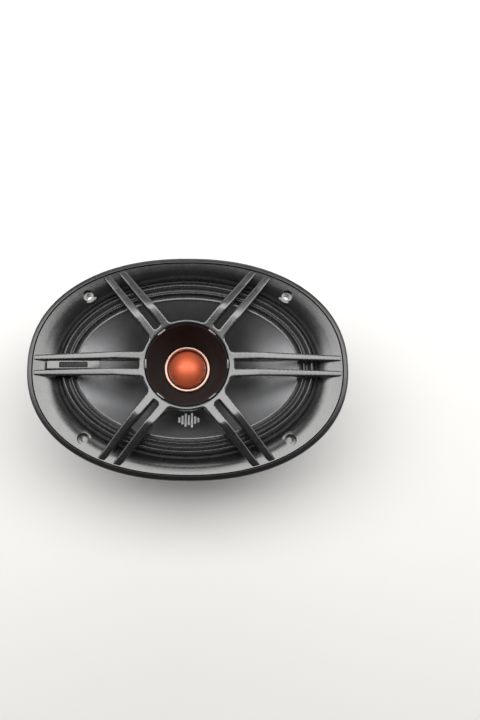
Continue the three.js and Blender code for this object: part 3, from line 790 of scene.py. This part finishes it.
def makeNamePlate():
    tilt, at = (0, -namePlate["tilt"], 0), namePlate["at"]
    plate = slab("namePlate", namePlate["length"], namePlate["width"], -namePlate["thick"], 0, 0.8, 0.3)
    length, width = namePlate["window"]
    cut(plate, [slab("hole", length, width, -3, 3, 0.6, 0, namePlate["shift"])])
    place(plate, tilt, at)
    gap = namePlate["gap"]
    insert = slab("namePlateInsert", length - gap, width - gap,
                  namePlate["insertLow"], namePlate["insertTop"], 0.5, 0.1, namePlate["shift"])
    place(insert, tilt, at)
    rib = prism("rib", box(*namePlate["ribHalf"], 0.3), namePlate["ribLow"], namePlate["ribTop"], 0.12)
    place(rib, tilt)
    slope = math.radians(namePlate["tilt"])
    spots = []
    for k in range(namePlate["ribs"]):
        x = namePlate["shift"] + (k - (namePlate["ribs"] - 1) / 2) * namePlate["ribPitch"]
        spots.append(((at[0] + x * math.cos(slope), at[1], at[2] + x * math.sin(slope)), (1, 0, 0)))
    ribs = repeated("namePlateRibs", rib, spots, finishes["block"])
    settle(plate, "frame", ["badge_plate"], finishes["grille"])
    settle(insert, "frame", ["badge_insert"], finishes["block"])
    settle(ribs, "frame", [], finishes["block"])


makeNamePlate()
print("trim and name plate made")

# ---- cone and its printed mark ----

cone = {"neckR": 19.5, "neckZ": 50.5, "a": 83.6, "b": 53.5, "depth": 33.0, "thick": 0.8, "bow": 0.93}


def coneRing(s, drop=0.0):
    a = cone["neckR"] + (cone["a"] - cone["neckR"]) * s
    b = cone["neckR"] + (cone["b"] - cone["neckR"]) * s
    return a, b, cone["neckZ"] + cone["depth"] * s ** cone["bow"] - drop


def coneShare(x, y):
    # how far from neck to edge a point of the cone lies
    low, high = 0.0, 1.0
    for _ in range(30):
        s = (low + high) / 2
        a, b, _ = coneRing(s)
        low, high = (s, high) if (x / a) ** 2 + (y / b) ** 2 > 1 else (low, s)
    return low


coneSteps = [k / 40 for k in range(41)]
coneFront = [coneRing(s) for s in reversed(coneSteps)]
coneBack = [coneRing(s, cone["thick"]) for s in coneSteps]
settle(ring("conePaper", coneBack + coneFront, 256), "diaphragm", ["cone"], finishes["paper"])

levelMark = {
    "heights": (4.2, 7.0, 10.4, 7.8, 11.4, 6.0, 3.6), "pitch": 2.4, "width": 1.5,
    "middle": (1.4, -38.4), "rows": 8, "lift": 0.06, "thick": 0.04,
}


def makeLevelMark():
    # seven upright bars of a level meter, printed on the cone
    bm = bmesh.new()
    left = levelMark["middle"][0] - levelMark["pitch"] * (len(levelMark["heights"]) - 1) / 2
    for k, height in enumerate(levelMark["heights"]):
        x = left + levelMark["pitch"] * k
        rows = []
        for j in range(levelMark["rows"] + 1):
            y = levelMark["middle"][1] + height * (j / levelMark["rows"] - 0.5)
            row = []
            for side in (-0.5, 0, 0.5):
                px = x + side * levelMark["width"]
                z = coneRing(coneShare(px, y))[2] + levelMark["lift"]
                row.append(bm.verts.new(Vector((px, y, z)) * mm))
            rows.append(row)
        for lower, upper in zip(rows, rows[1:]):
            for i in range(2):
                bm.faces.new((lower[i], lower[i + 1], upper[i + 1], upper[i]))
    everything = bm.faces[:] + bm.verts[:] + bm.edges[:]
    bmesh.ops.solidify(bm, geom=everything, thickness=levelMark["thick"] * mm)
    bmesh.ops.recalc_face_normals(bm, faces=bm.faces)
    mesh = bpy.data.meshes.new("levelMark")
    bm.to_mesh(mesh)
    bm.free()
    return finishMesh(newPiece("levelMark", mesh))


settle(makeLevelMark(), "diaphragm", [], finishes["print"])

# ---- surround, spider and their rings ----

suspension = {
    # half length and height of each ring of the surround's two rolls
    "path": [(82.6, 84.1), (83.6, 84.15), (84.5, 83.9), (85.5, 86.4), (86.6, 87.9), (87.9, 86.5),
             (89.5, 83.9), (91.1, 86.3), (92.5, 87.75), (93.8, 86.2), (94.7, 82.9), (95.5, 81.1),
             (98.4, 80.9)],
    "narrower": 30.15, "halfThick": 0.3,
    "innerOval": (84.4, 54.3), "outerOval": (95.2, 65.1),  # the shares of the surround's points are worked out between these
    "gasket": [(96.2, 81.5), (98.2, 81.5), (98.2, 82.4), (96.2, 82.4)],
}
surroundLine = [(a, a - suspension["narrower"], z) for a, z in suspension["path"]]


def followBoth(piece, weight):
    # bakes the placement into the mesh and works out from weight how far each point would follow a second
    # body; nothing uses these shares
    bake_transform(piece)
    points = np.array([v.co for v in piece.data.vertices]) / mm
    shares = np.clip(weight(points[:, 0], points[:, 1]), 0, 1)
    shares = shares * shares * (3 - 2 * shares)


def surroundShare(x, y):
    (innerX, innerY), (outerX, outerY) = suspension["innerOval"], suspension["outerOval"]
    outside = np.maximum(np.hypot(x / innerX, y / innerY) - 1, 0)
    inside = np.maximum(1 - np.hypot(x / outerX, y / outerY), 0)
    return inside / (inside + outside + 1e-9)


surround = ring("surroundCloth", thickened(smoothLine(surroundLine, 6), suspension["halfThick"]), 256, 60)
settle(surround, None, ["surround"], finishes["surround"])
followBoth(surround, surroundShare)

surroundGasket = ring("surroundGasket", roundCorners(concentric(suspension["gasket"]), 0.2), 192)
settle(surroundGasket, "frame", ["surround_gasket"], finishes["fibre"])

spider = {
    "neck": [(19.6, 45.0), (22.6, 45.0)], "foot": [(46.2, 44.4), (47.2, 43.3), (50.4, 43.1)],
    "from": 22.6, "to": 45.8, "waves": 5, "waveHalf": 1.35, "middle": 44.85, "halfThick": 0.25,
    "stillR": 46, "movingR": 21,
}


def makeSpider():
    line = list(spider["neck"])
    steps = 8 * spider["waves"]
    for k in range(1, steps):
        share = k / steps
        height = spider["middle"] - spider["waveHalf"] * math.sin(2 * math.pi * spider["waves"] * share)
        line.append((spider["from"] + (spider["to"] - spider["from"]) * share, height))
    line += spider["foot"]
    return ring("spider", thickened([(r, r, z) for r, z in line], spider["halfThick"]), 128, 60)


def spiderShare(x, y):
    return (spider["stillR"] - np.hypot(x, y)) / (spider["stillR"] - spider["movingR"])


spiderCloth = makeSpider()
settle(spiderCloth, None, ["spider"], finishes["spiderCloth"])
followBoth(spiderCloth, spiderShare)
print("cone and suspension made")

# ---- tweeter ----

tweeter = {
    "bowlInside": [(29.5, 98.3), (28.9, 94.8), (27.0, 89.9), (23.6, 83.0), (20.8, 77.2), (19.0, 73.9),
                   (18.2, 73.1)],
    "bowlOutside": [(19.7, 70.4), (21.6, 75.2), (24.2, 81.3), (27.6, 88.6), (29.9, 94.0), (30.2, 98.0)],
    "bowlFoot": (18.2, 70.4), "bowlLip": (29.9, 98.4),
    "bezel": [(15.1, 71.1), (17.8, 71.1), (17.8, 72.8), (17.4, 73.35), (16.6, 73.5), (15.7, 73.35),
              (15.1, 72.8)],
    "domeR": 13.8, "domeH": 8.2, "domeZ": 72.0, "domeThick": 0.4,
    "roll": [(14.0, 71.9), (14.4, 72.1), (14.6, 71.6), (14.5, 70.4), (16.8, 70.4), (16.8, 70.8),
             (14.9, 70.8), (14.9, 71.9), (14.5, 72.6), (14.0, 72.4)],
    "housing": [(5.3, 52.9), (14, 53.5), (18.9, 58), (18.9, 70), (17.3, 70), (17.3, 58.7), (14, 55.7),
                (5.3, 55.1)],
    "post": [(1.8, 4.4), (5, 4.4), (5, 49.9), (8.5, 50.4), (8.5, 52.6), (5, 52.6), (5, 55.7), (1.8, 55.7)],
}


def makeBowl():
    inside = [tuple(p) for p in smoothLine(tweeter["bowlInside"], 6)]
    outside = [tuple(p) for p in smoothLine(tweeter["bowlOutside"], 5)]
    profile = [tweeter["bowlFoot"], *outside, tweeter["bowlLip"], *inside]
    return turned("tweeterBowl", profile, 128, 0.0)


settle(makeBowl(), "frame", ["tweeter_bowl"], finishes["bowl"])

clips = {"radius": 29.85, "width": 6.7, "thick": 1.2, "low": 96.4, "high": 99.7}


def makeClips():
    tab = prism("tab", box(clips["thick"] / 2, clips["width"] / 2, 0.2), clips["low"], clips["high"], 0.15)
    spots = [((*onCircle(clips["radius"], t), 0), (*onCircle(1, t), 0)) for t in spokes["angles"]]
    return repeated("bowlClips", tab, spots, finishes["grille"])


settle(makeClips(), "frame", [], finishes["grille"])

bezel = turned("tweeterBezel", tweeter["bezel"], 128, 0.35)
settle(bezel, "frame", ["tweeter_bezel"], finishes["rose"])


def makeDome():
    ballR = (tweeter["domeR"] ** 2 + tweeter["domeH"] ** 2) / (2 * tweeter["domeH"])
    reach = math.asin(tweeter["domeR"] / ballR)
    middleZ = tweeter["domeZ"] + tweeter["domeH"] - ballR

    def arc(r, share):
        return r * math.sin(reach * share), middleZ + r * math.cos(reach * share)

    inside = [arc(ballR - tweeter["domeThick"], k / 24) for k in range(25)]
    outside = [arc(ballR, k / 24) for k in range(24, -1, -1)]
    return turned("tweeterDome", inside + outside, 96, 0.0)


settle(makeDome(), "dome", ["tweeter_dome"], finishes["orange"])
tweeterRoll = turned("tweeterSurround", tweeter["roll"], 96, 0.2)
settle(tweeterRoll, None, ["tweeter_surround"], finishes["rubberAndDomeReflection"])
followBoth(tweeterRoll, lambda x, y: (14.9 - np.hypot(x, y)) / 0.7)
housing = turned("tweeterHousing", tweeter["housing"], 96, 0.6)
settle(housing, "frame", ["tweeter_housing"], finishes["block"])
post = turned("tweeterPost", tweeter["post"], 64, 0.3)
settle(post, "frame", ["tweeter_post"], finishes["zinc"])
print("tweeter made")

# ---- basket ----

basket = {
    # half length, half width and height, then how round each corner is
    "profile": [(22.5, 22.5, 30.3), (44, 44, 30.3), (46.5, 46.5, 33), (47.5, 47.5, 41), (53, 52, 41),
                (96, 66, 78.5), (114.1, 78.5, 78.5), (114.1, 78.5, 80), (94.4, 64.4, 80),
                (51.6, 50.6, 42.5), (46, 46, 42.5), (45, 45, 33.8), (43.3, 43.3, 31.8), (22.5, 22.5, 31.8)],
    "rounding": [0.3, 1.6, 2, 1, 3, 3, 0.4, 0.4, 2, 2, 1, 2, 1, 0.3],
    # each window: its place on an oval, its heights, and its half width at the foot and at the top
    "windowMiddle": (74.5, 58.8), "windowLow": 47.5, "windowHigh": 73.5, "windowCorner": 5.0,
    "endWindow": (15, 22), "endWindows": (0, 180),
    "sideWindow": (19, 22), "sideWindows": (60, 120, 240, 300),
    "leadSlot": (24, 69.6, 74.2),
    "grilleScrewOval": 103, "grilleScrews": (18, 162, 198, 342), "grilleScrewHole": 1.6,
    "motorScrewCircle": 34, "motorScrews": (45, 135, 225, 315), "motorScrewHole": 2.3,
}


def windowCutter(degrees, halfLow, halfHigh):
    turn = math.radians(degrees)
    a, b = basket["windowMiddle"]
    middle = (a * math.cos(turn), b * math.sin(turn), 0)
    facing = math.degrees(math.atan2(math.sin(turn) / b, math.cos(turn) / a))
    low, high, corner = basket["windowLow"], basket["windowHigh"], basket["windowCorner"]
    outline = [(-halfLow, low, corner), (halfLow, low, corner),
               (halfHigh, high, corner), (-halfHigh, high, corner)]
    cutter = prism("window", outline, -25, 35)
    place(cutter, (90, 0, 0))
    return place(cutter, (0, 0, facing + 90), middle)


def grilleScrewSpots():
    a, b = basket["grilleScrewOval"], halfWidth(basket["grilleScrewOval"])
    return [(onCircle(a, t)[0], onCircle(b, t)[1]) for t in basket["grilleScrews"]]


def motorScrewSpots():
    return [onCircle(basket["motorScrewCircle"], t) for t in basket["motorScrews"]]


def makeBasket():
    shell = ring("basketShell", roundCorners(basket["profile"], basket["rounding"], 5), 256)
    cutters = [windowCutter(t, *basket["endWindow"]) for t in basket["endWindows"]]
    cutters += [windowCutter(t, *basket["sideWindow"]) for t in basket["sideWindows"]]
    cutters += [cylinder(dish["holeR"], 70, 90, x, y, 32) for x, y in panelHoles]
    cutters += [cylinder(basket["grilleScrewHole"], 70, 90, x, y, 24) for x, y in grilleScrewSpots()]
    cutters += [cylinder(basket["motorScrewHole"], 28, 36, x, y, 24) for x, y in motorScrewSpots()]
    width, low, high = basket["leadSlot"]
    half = width / 2
    slot = prism("slot", [(-half, low, 2), (half, low, 2), (half, high, 2), (-half, high, 2)], 50, 70)
    cutters.append(place(slot, (90, 0, 0)))
    cut(shell, cutters, 40)
    edges = shell.modifiers.new("edges", "BEVEL")
    edges.width = 0.25 * mm
    edges.segments = 2
    edges.limit_method = "ANGLE"
    edges.angle_limit = math.radians(50)
    plain(shell)
    return finishMesh(shell, 40)


settle(makeBasket(), "frame", ["basket"], finishes["steel"])

gasket = {"inner": 99.2, "outer": 111.7, "low": 76.2, "high": 78.2, "panelHole": 3, "screwHole": 3.2}


def makeGasket():
    inner, outer, low, high = gasket["inner"], gasket["outer"], gasket["low"], gasket["high"]
    profile = concentric([(inner, low), (outer, low), (outer, high), (inner, high)])
    foam = ring("mountingGasket", roundCorners(profile, 0.3), 192)
    holes = [cylinder(gasket["panelHole"], 70, 90, x, y, 32) for x, y in panelHoles]
    holes += [cylinder(gasket["screwHole"], 70, 90, x, y, 32) for x, y in grilleScrewSpots()]
    return cut(foam, holes)


settle(makeGasket(), "frame", ["mounting_gasket"], finishes["foam"])
print("basket and gasket made")

# ---- motor ----

motor = {
    # radius and height of each corner of the turned pieces
    "yoke": [(5.3, 9.5), (9, 9.5), (9, 0), (44, 0), (45, 1), (45, 6), (18.3, 6), (18.3, 31.5), (5.3, 31.5)],
    "topPlate": [(20.6, 24), (46, 24), (46, 30), (20.6, 30)],
    "magnet": [(26.3, 6.3), (50, 6.3), (50, 23.7), (26.3, 23.7)],
    "washer": [(5.2, 8.2), (8.4, 8.2), (8.4, 9.2), (5.2, 9.2)],
    "nutAcross": 13, "nutLow": 4.7, "nutHigh": 7.9, "nutBore": 5.2,
}


def makeYoke():
    yoke = turned("yokePlate", motor["yoke"], 128, 0.5)
    groove = prism("groove", [(-2, -49, 0), (2, -49, 0), (2, -4, 0), (-2, -4, 0)], -3, 3)
    return cut(yoke, [groove])


def makeTopPlate():
    plate = turned("topPlate", motor["topPlate"], 128, 0.4)
    return cut(plate, [cylinder(basket["motorScrewHole"], 25, 32, x, y, 24) for x, y in motorScrewSpots()])


settle(makeYoke(), "frame", ["yoke"], finishes["steel"])
settle(makeTopPlate(), "frame", ["top_plate"], finishes["zinc"])
magnet = turned("ferriteRing", motor["magnet"], 128, 1.0)
settle(magnet, "frame", ["magnet"], finishes["ferrite"])
washer = turned("postWasher", motor["washer"], 64, 0.2)
settle(washer, "frame", ["post_washer"], finishes["zinc"])


def makeNut():
    sides = [(*onCircle(motor["nutAcross"] / math.sqrt(3), 60 * k), 0.3) for k in range(6)]
    nut = prism("postNut", sides, motor["nutLow"], motor["nutHigh"], 0.35, 3)
    return cut(nut, [cylinder(motor["nutBore"], 4, 9)])


settle(makeNut(), "frame", ["post_nut"], finishes["zinc"])

screws = {
    # the head runs from seat to crown, so a screw whose crown is the lower one points upwards
    "motor": {"headR": 3.8, "seat": 32.1, "crown": 34.5, "shankR": 2, "tip": 25.5, "cross": 1.9},
    "grille": {"headR": 2.7, "seat": 78.2, "crown": 76.5, "shankR": 1.1, "tip": 84.4, "cross": 1.3},
    "recessHalf": 0.35, "recessDepth": 1.0,
}


def screwShape(headR, seat, crown, shankR, tip, cross):
    # a pan head with a cross recess
    rise = crown - seat
    profile = [(0, tip), (shankR, tip), (shankR, seat), (headR, seat), (headR * 0.96, seat + 0.55 * rise),
               (headR * 0.7, seat + 0.9 * rise), (0, crown)]
    screw = turned("screw", profile, 32, 0.15)
    low, high = crown - screws["recessDepth"], crown + screws["recessDepth"]
    half = screws["recessHalf"]
    arms = [prism("arm", box(x, y), low, high) for x, y in ((cross, half), (half, cross))]
    return cut(screw, arms)


for kind, around in (("motor", motorScrewSpots()), ("grille", grilleScrewSpots())):
    spots = [((x, y, 0), (x, y, 0)) for x, y in around]
    fasteners = repeated(f"{kind}Screws", screwShape(**screws[kind]), spots, finishes["zinc"])
    settle(fasteners, "frame", [f"{kind}_screw_{k}" for k in (1, 2, 3, 4)], finishes["zinc"])
print("motor and screws made")

# ---- terminals and wiring ----

terminals = {
    # the block's side view: distance out, height and rounding of each corner
    "block": [(65.5, 50.5, 0.6), (65.5, 67.4, 0.8), (64, 69, 0.4), (62.9, 69, 0), (55.95, 50.5, 0.3)],
    "blockHalf": 15, "bladeY": -66.2, "bladeHalf": 0.4, "bladeTop": 64.5, "bladeTip": 41.4,
    "holeR": 0.9, "holeZ": 45.6, "landLow": 50.4, "rivetZ": 56,
    "blades": (("positive", -8.0, 6.3), ("negative", 8.0, 4.8)),  # place along X and width
}


def makeTerminalBlock():
    block = prism("terminalBlock", terminals["block"], -terminals["blockHalf"], terminals["blockHalf"], 0.5)
    place(block, (90, 0, 0))
    return place(block, (0, 0, -90))


def makeBlade(name, x, width):
    # a flat blade with a pointed tip, a small hole, and a raised land where it is riveted
    left, right, top, tip = x - width / 2, x + width / 2, terminals["bladeTop"], terminals["bladeTip"]
    outline = [(left, top, 0.4), (left, tip + 1, 1.4), (left + 1.3, tip, 0.5), (right - 1.3, tip, 0.5),
               (right, tip + 1, 1.4), (right, top, 0.4)]
    flat = prism(name, outline, -terminals["bladeHalf"], terminals["bladeHalf"], 0.12)
    place(flat, (90, 0, 0), (0, terminals["bladeY"], 0))
    hole = cylinder(terminals["holeR"], -3, 3)
    place(hole, (90, 0, 0), (x, terminals["bladeY"], terminals["holeZ"]))
    low = terminals["landLow"]
    raised = [(left, top, 0.4), (left, low, 0.4), (right, low, 0.4), (right, top, 0.4)]
    land = prism(name + "Land", raised, 0.38, 0.7, 0.1)
    place(land, (90, 0, 0), (0, terminals["bladeY"], 0))
    return joined(name, [cut(flat, [hole]), land])


def makeRivet(name, x):
    head = turned(name, [(0, 0), (1.9, 0), (1.85, 0.5), (1.2, 0.9), (0, 0.75)], 32, 0.15)
    return place(head, (90, 0, 0), (x, terminals["bladeY"] - 1.0, terminals["rivetZ"]))


# how far the pair of tinsel leads spreads, then the depth and height of each point
tinselPath = [(1, -66.4, 65.1), (1, -65.9, 70.2), (1, -62.8, 72.1), (1, -57, 71.4), (1.05, -49, 66.2),
              (1.1, -42, 60.6), (1.1, -36.5, 59.4), (1.1, -32, 60.6)]
settle(makeTerminalBlock(), "frame", ["terminal_block"], finishes["block"])
for label, x, width in terminals["blades"]:
    blade = makeBlade(f"{label}Blade", x, width)
    settle(blade, "frame", [f"terminal_{label}"], finishes["brass"])
    rivet = makeRivet(f"{label}Rivet", x)
    settle(rivet, "frame", [f"terminal_{label}_rivet"], finishes["nickel"])
    route = [(x * widen, y, z) for widen, y, z in tinselPath]
    lead = wire(f"{label}TinselLead", route, 0.6, finishes["copper"])
    settle(lead, None, [f"tinsel_lead_{label}"], finishes["copper"])
    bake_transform(lead)

capacitor = {
    "place": (0, -59.4, 44.6),
    "profile": [(0, -9), (3.6, -9), (4.5, -8.2), (4.3, -6.8), (4.5, -6.2), (4.5, 8.2), (3.6, 9), (0, 9)],
    "lead": [(-9.4, -59.4, 44.6), (-11.2, -60, 45.8), (-11.8, -61.6, 47.6), (-11.8, -62.6, 50.1)],
    "leadR": 0.45,
}
can = turned("crossoverCapacitor", capacitor["profile"], 48, 0.4)
place(can, (0, 90, 0), capacitor["place"])
settle(can, "frame", ["crossover_capacitor"], finishes["sleeve"])
capLead = wire("capacitorLead", capacitor["lead"], capacitor["leadR"], finishes["zinc"])
settle(capLead, "frame", ["capacitor_lead"], finishes["zinc"])

# both of the tweeter's wires run down through the post, out along the groove and up the motor's side
tweeterWires = {
    "radius": 0.6, "redX": 0.8, "blackX": -0.8,
    "common": [(0, 55.8), (0, 38), (0, 18), (0, 6), (-1.1, 2.6), (-4, 1.5), (-12, 1.5), (-30, 1.5),
               (-44, 1.5), (-50, 2.6), (-51.4, 6.5), (-51.4, 20)],
    "redEnd": [(1.5, -51.6, 30), (7, -54.6, 37.5), (11.4, -58.6, 42), (11.4, -59.4, 44.6),
               (9.4, -59.4, 44.6)],
    "blackEnd": [(-0.8, -52, 30), (3, -56, 36), (9, -64.4, 39.6), (12.6, -64.4, 44), (12.6, -63, 50.1)],
}
for color, label in (("red", "positive"), ("black", "negative")):
    route = [(tweeterWires[color + "X"], y, z) for y, z in tweeterWires["common"]]
    insulation = finishes[color + "Wire"]
    route += tweeterWires[color + "End"]
    lead = wire(color + "TweeterWire", route, tweeterWires["radius"], insulation)
    settle(lead, "frame", [f"tweeter_wire_{label}"], insulation)
print("terminals and wiring made")

# ---- small beads of glue where the suspension meets the dish ----

glue = {"a": 97.4, "z": 83.6, "count": 34, "spread": 0.5, "seed": 7}


def makeGlue():
    bead = turned("bead", [(0, -0.4), (0.5, -0.25), (0.6, 0), (0.4, 0.25), (0, 0.35)], 12, 0.0)
    rng = np.random.default_rng(glue["seed"])
    spots = []
    for turn in np.sort(rng.uniform(0, 2 * math.pi, glue["count"])):
        x, y = ovalPoint(glue["a"], halfWidth(glue["a"]), turn)
        spots.append(((x, y, glue["z"]), (math.cos(turn), math.sin(turn), 0)))
    return repeated("glueBeads", bead, spots, finishes["bowl"], glue["spread"], glue["seed"])


settle(makeGlue(), "frame", [], finishes["bowl"])

# ---- pieces of the frame that stay as they are ----

kept = {
    "pole_dust_ring": "foam", "coil_former": "amber", "voice_coil": "copper", "tweeter_coil": "amber",
    "tweeter_pole_plate": "zinc", "tweeter_magnet": "nickel", "tweeter_yoke": "zinc",
}
for node, look in kept.items():
    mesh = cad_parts[node].data
    mesh.materials.clear()
    mesh.materials.append(finishes[look])

# ---- floor, light and surroundings ----

# in metres and watts; the strips and boxes stand in pairs, left and right
studio = {
    "floorHalf": 4, "worldColor": (1, 0.985, 0.96, 1), "worldStrength": 0.06,
    "softbox": {"at": (0, 0.475, 1.3), "aim": (0, 0.475, 0), "size": (2.8, 0.85), "watts": 31,
                "color": (1, 0.995, 0.985)},
    "backPanel": {"at": (0, 1.5, 0.55), "aim": (0, 0, 0.09), "size": (1.6, 0.7), "watts": 6},
    "nearStrip": {"x": 1.9, "y": -0.06, "z": 1.3, "size": (2.6, 0.22), "watts": 3.6},
    "wideBox": {"x": 2.3, "y": 0.35, "z": 1.3, "size": (1.8, 0.6), "watts": 11},
}
half = studio["floorHalf"]
floorMesh = bpy.data.meshes.new("floor")
floorMesh.from_pydata([(-half, -half, 0), (half, -half, 0), (half, half, 0), (-half, half, 0)], [],
                      [(0, 1, 2, 3)])
floor = newPiece("floor", floorMesh)
floorMesh.materials.append(finishes["floor"])


def areaLight(name, at, aim, size, watts, color=(1, 1, 1)):
    data = bpy.data.lights.new(name, "AREA")
    data.shape = "RECTANGLE"
    data.size, data.size_y = size
    data.energy = watts
    data.color = color
    lamp = bpy.data.objects.new(name, data)
    bpy.context.scene.collection.objects.link(lamp)
    lamp.location = at
    lamp.rotation_euler = (Vector(aim) - Vector(at)).to_track_quat("-Z", "Y").to_euler()


areaLight("softbox", **studio["softbox"])
areaLight("backPanel", **studio["backPanel"])
for side in (-1, 1):
    for name in ("nearStrip", "wideBox"):
        lamp = studio[name]
        x, y = side * lamp["x"], lamp["y"]
        areaLight(name, (x, y, lamp["z"]), (x, y, 0), lamp["size"], lamp["watts"])
world = bpy.data.worlds.new("room")
world.use_nodes = True
background = world.node_tree.nodes["Background"]
background.inputs["Color"].default_value = studio["worldColor"]
background.inputs["Strength"].default_value = studio["worldStrength"]
bpy.context.scene.world = world
bpy.context.scene.view_settings.view_transform = "Standard"
print("floor and light made")
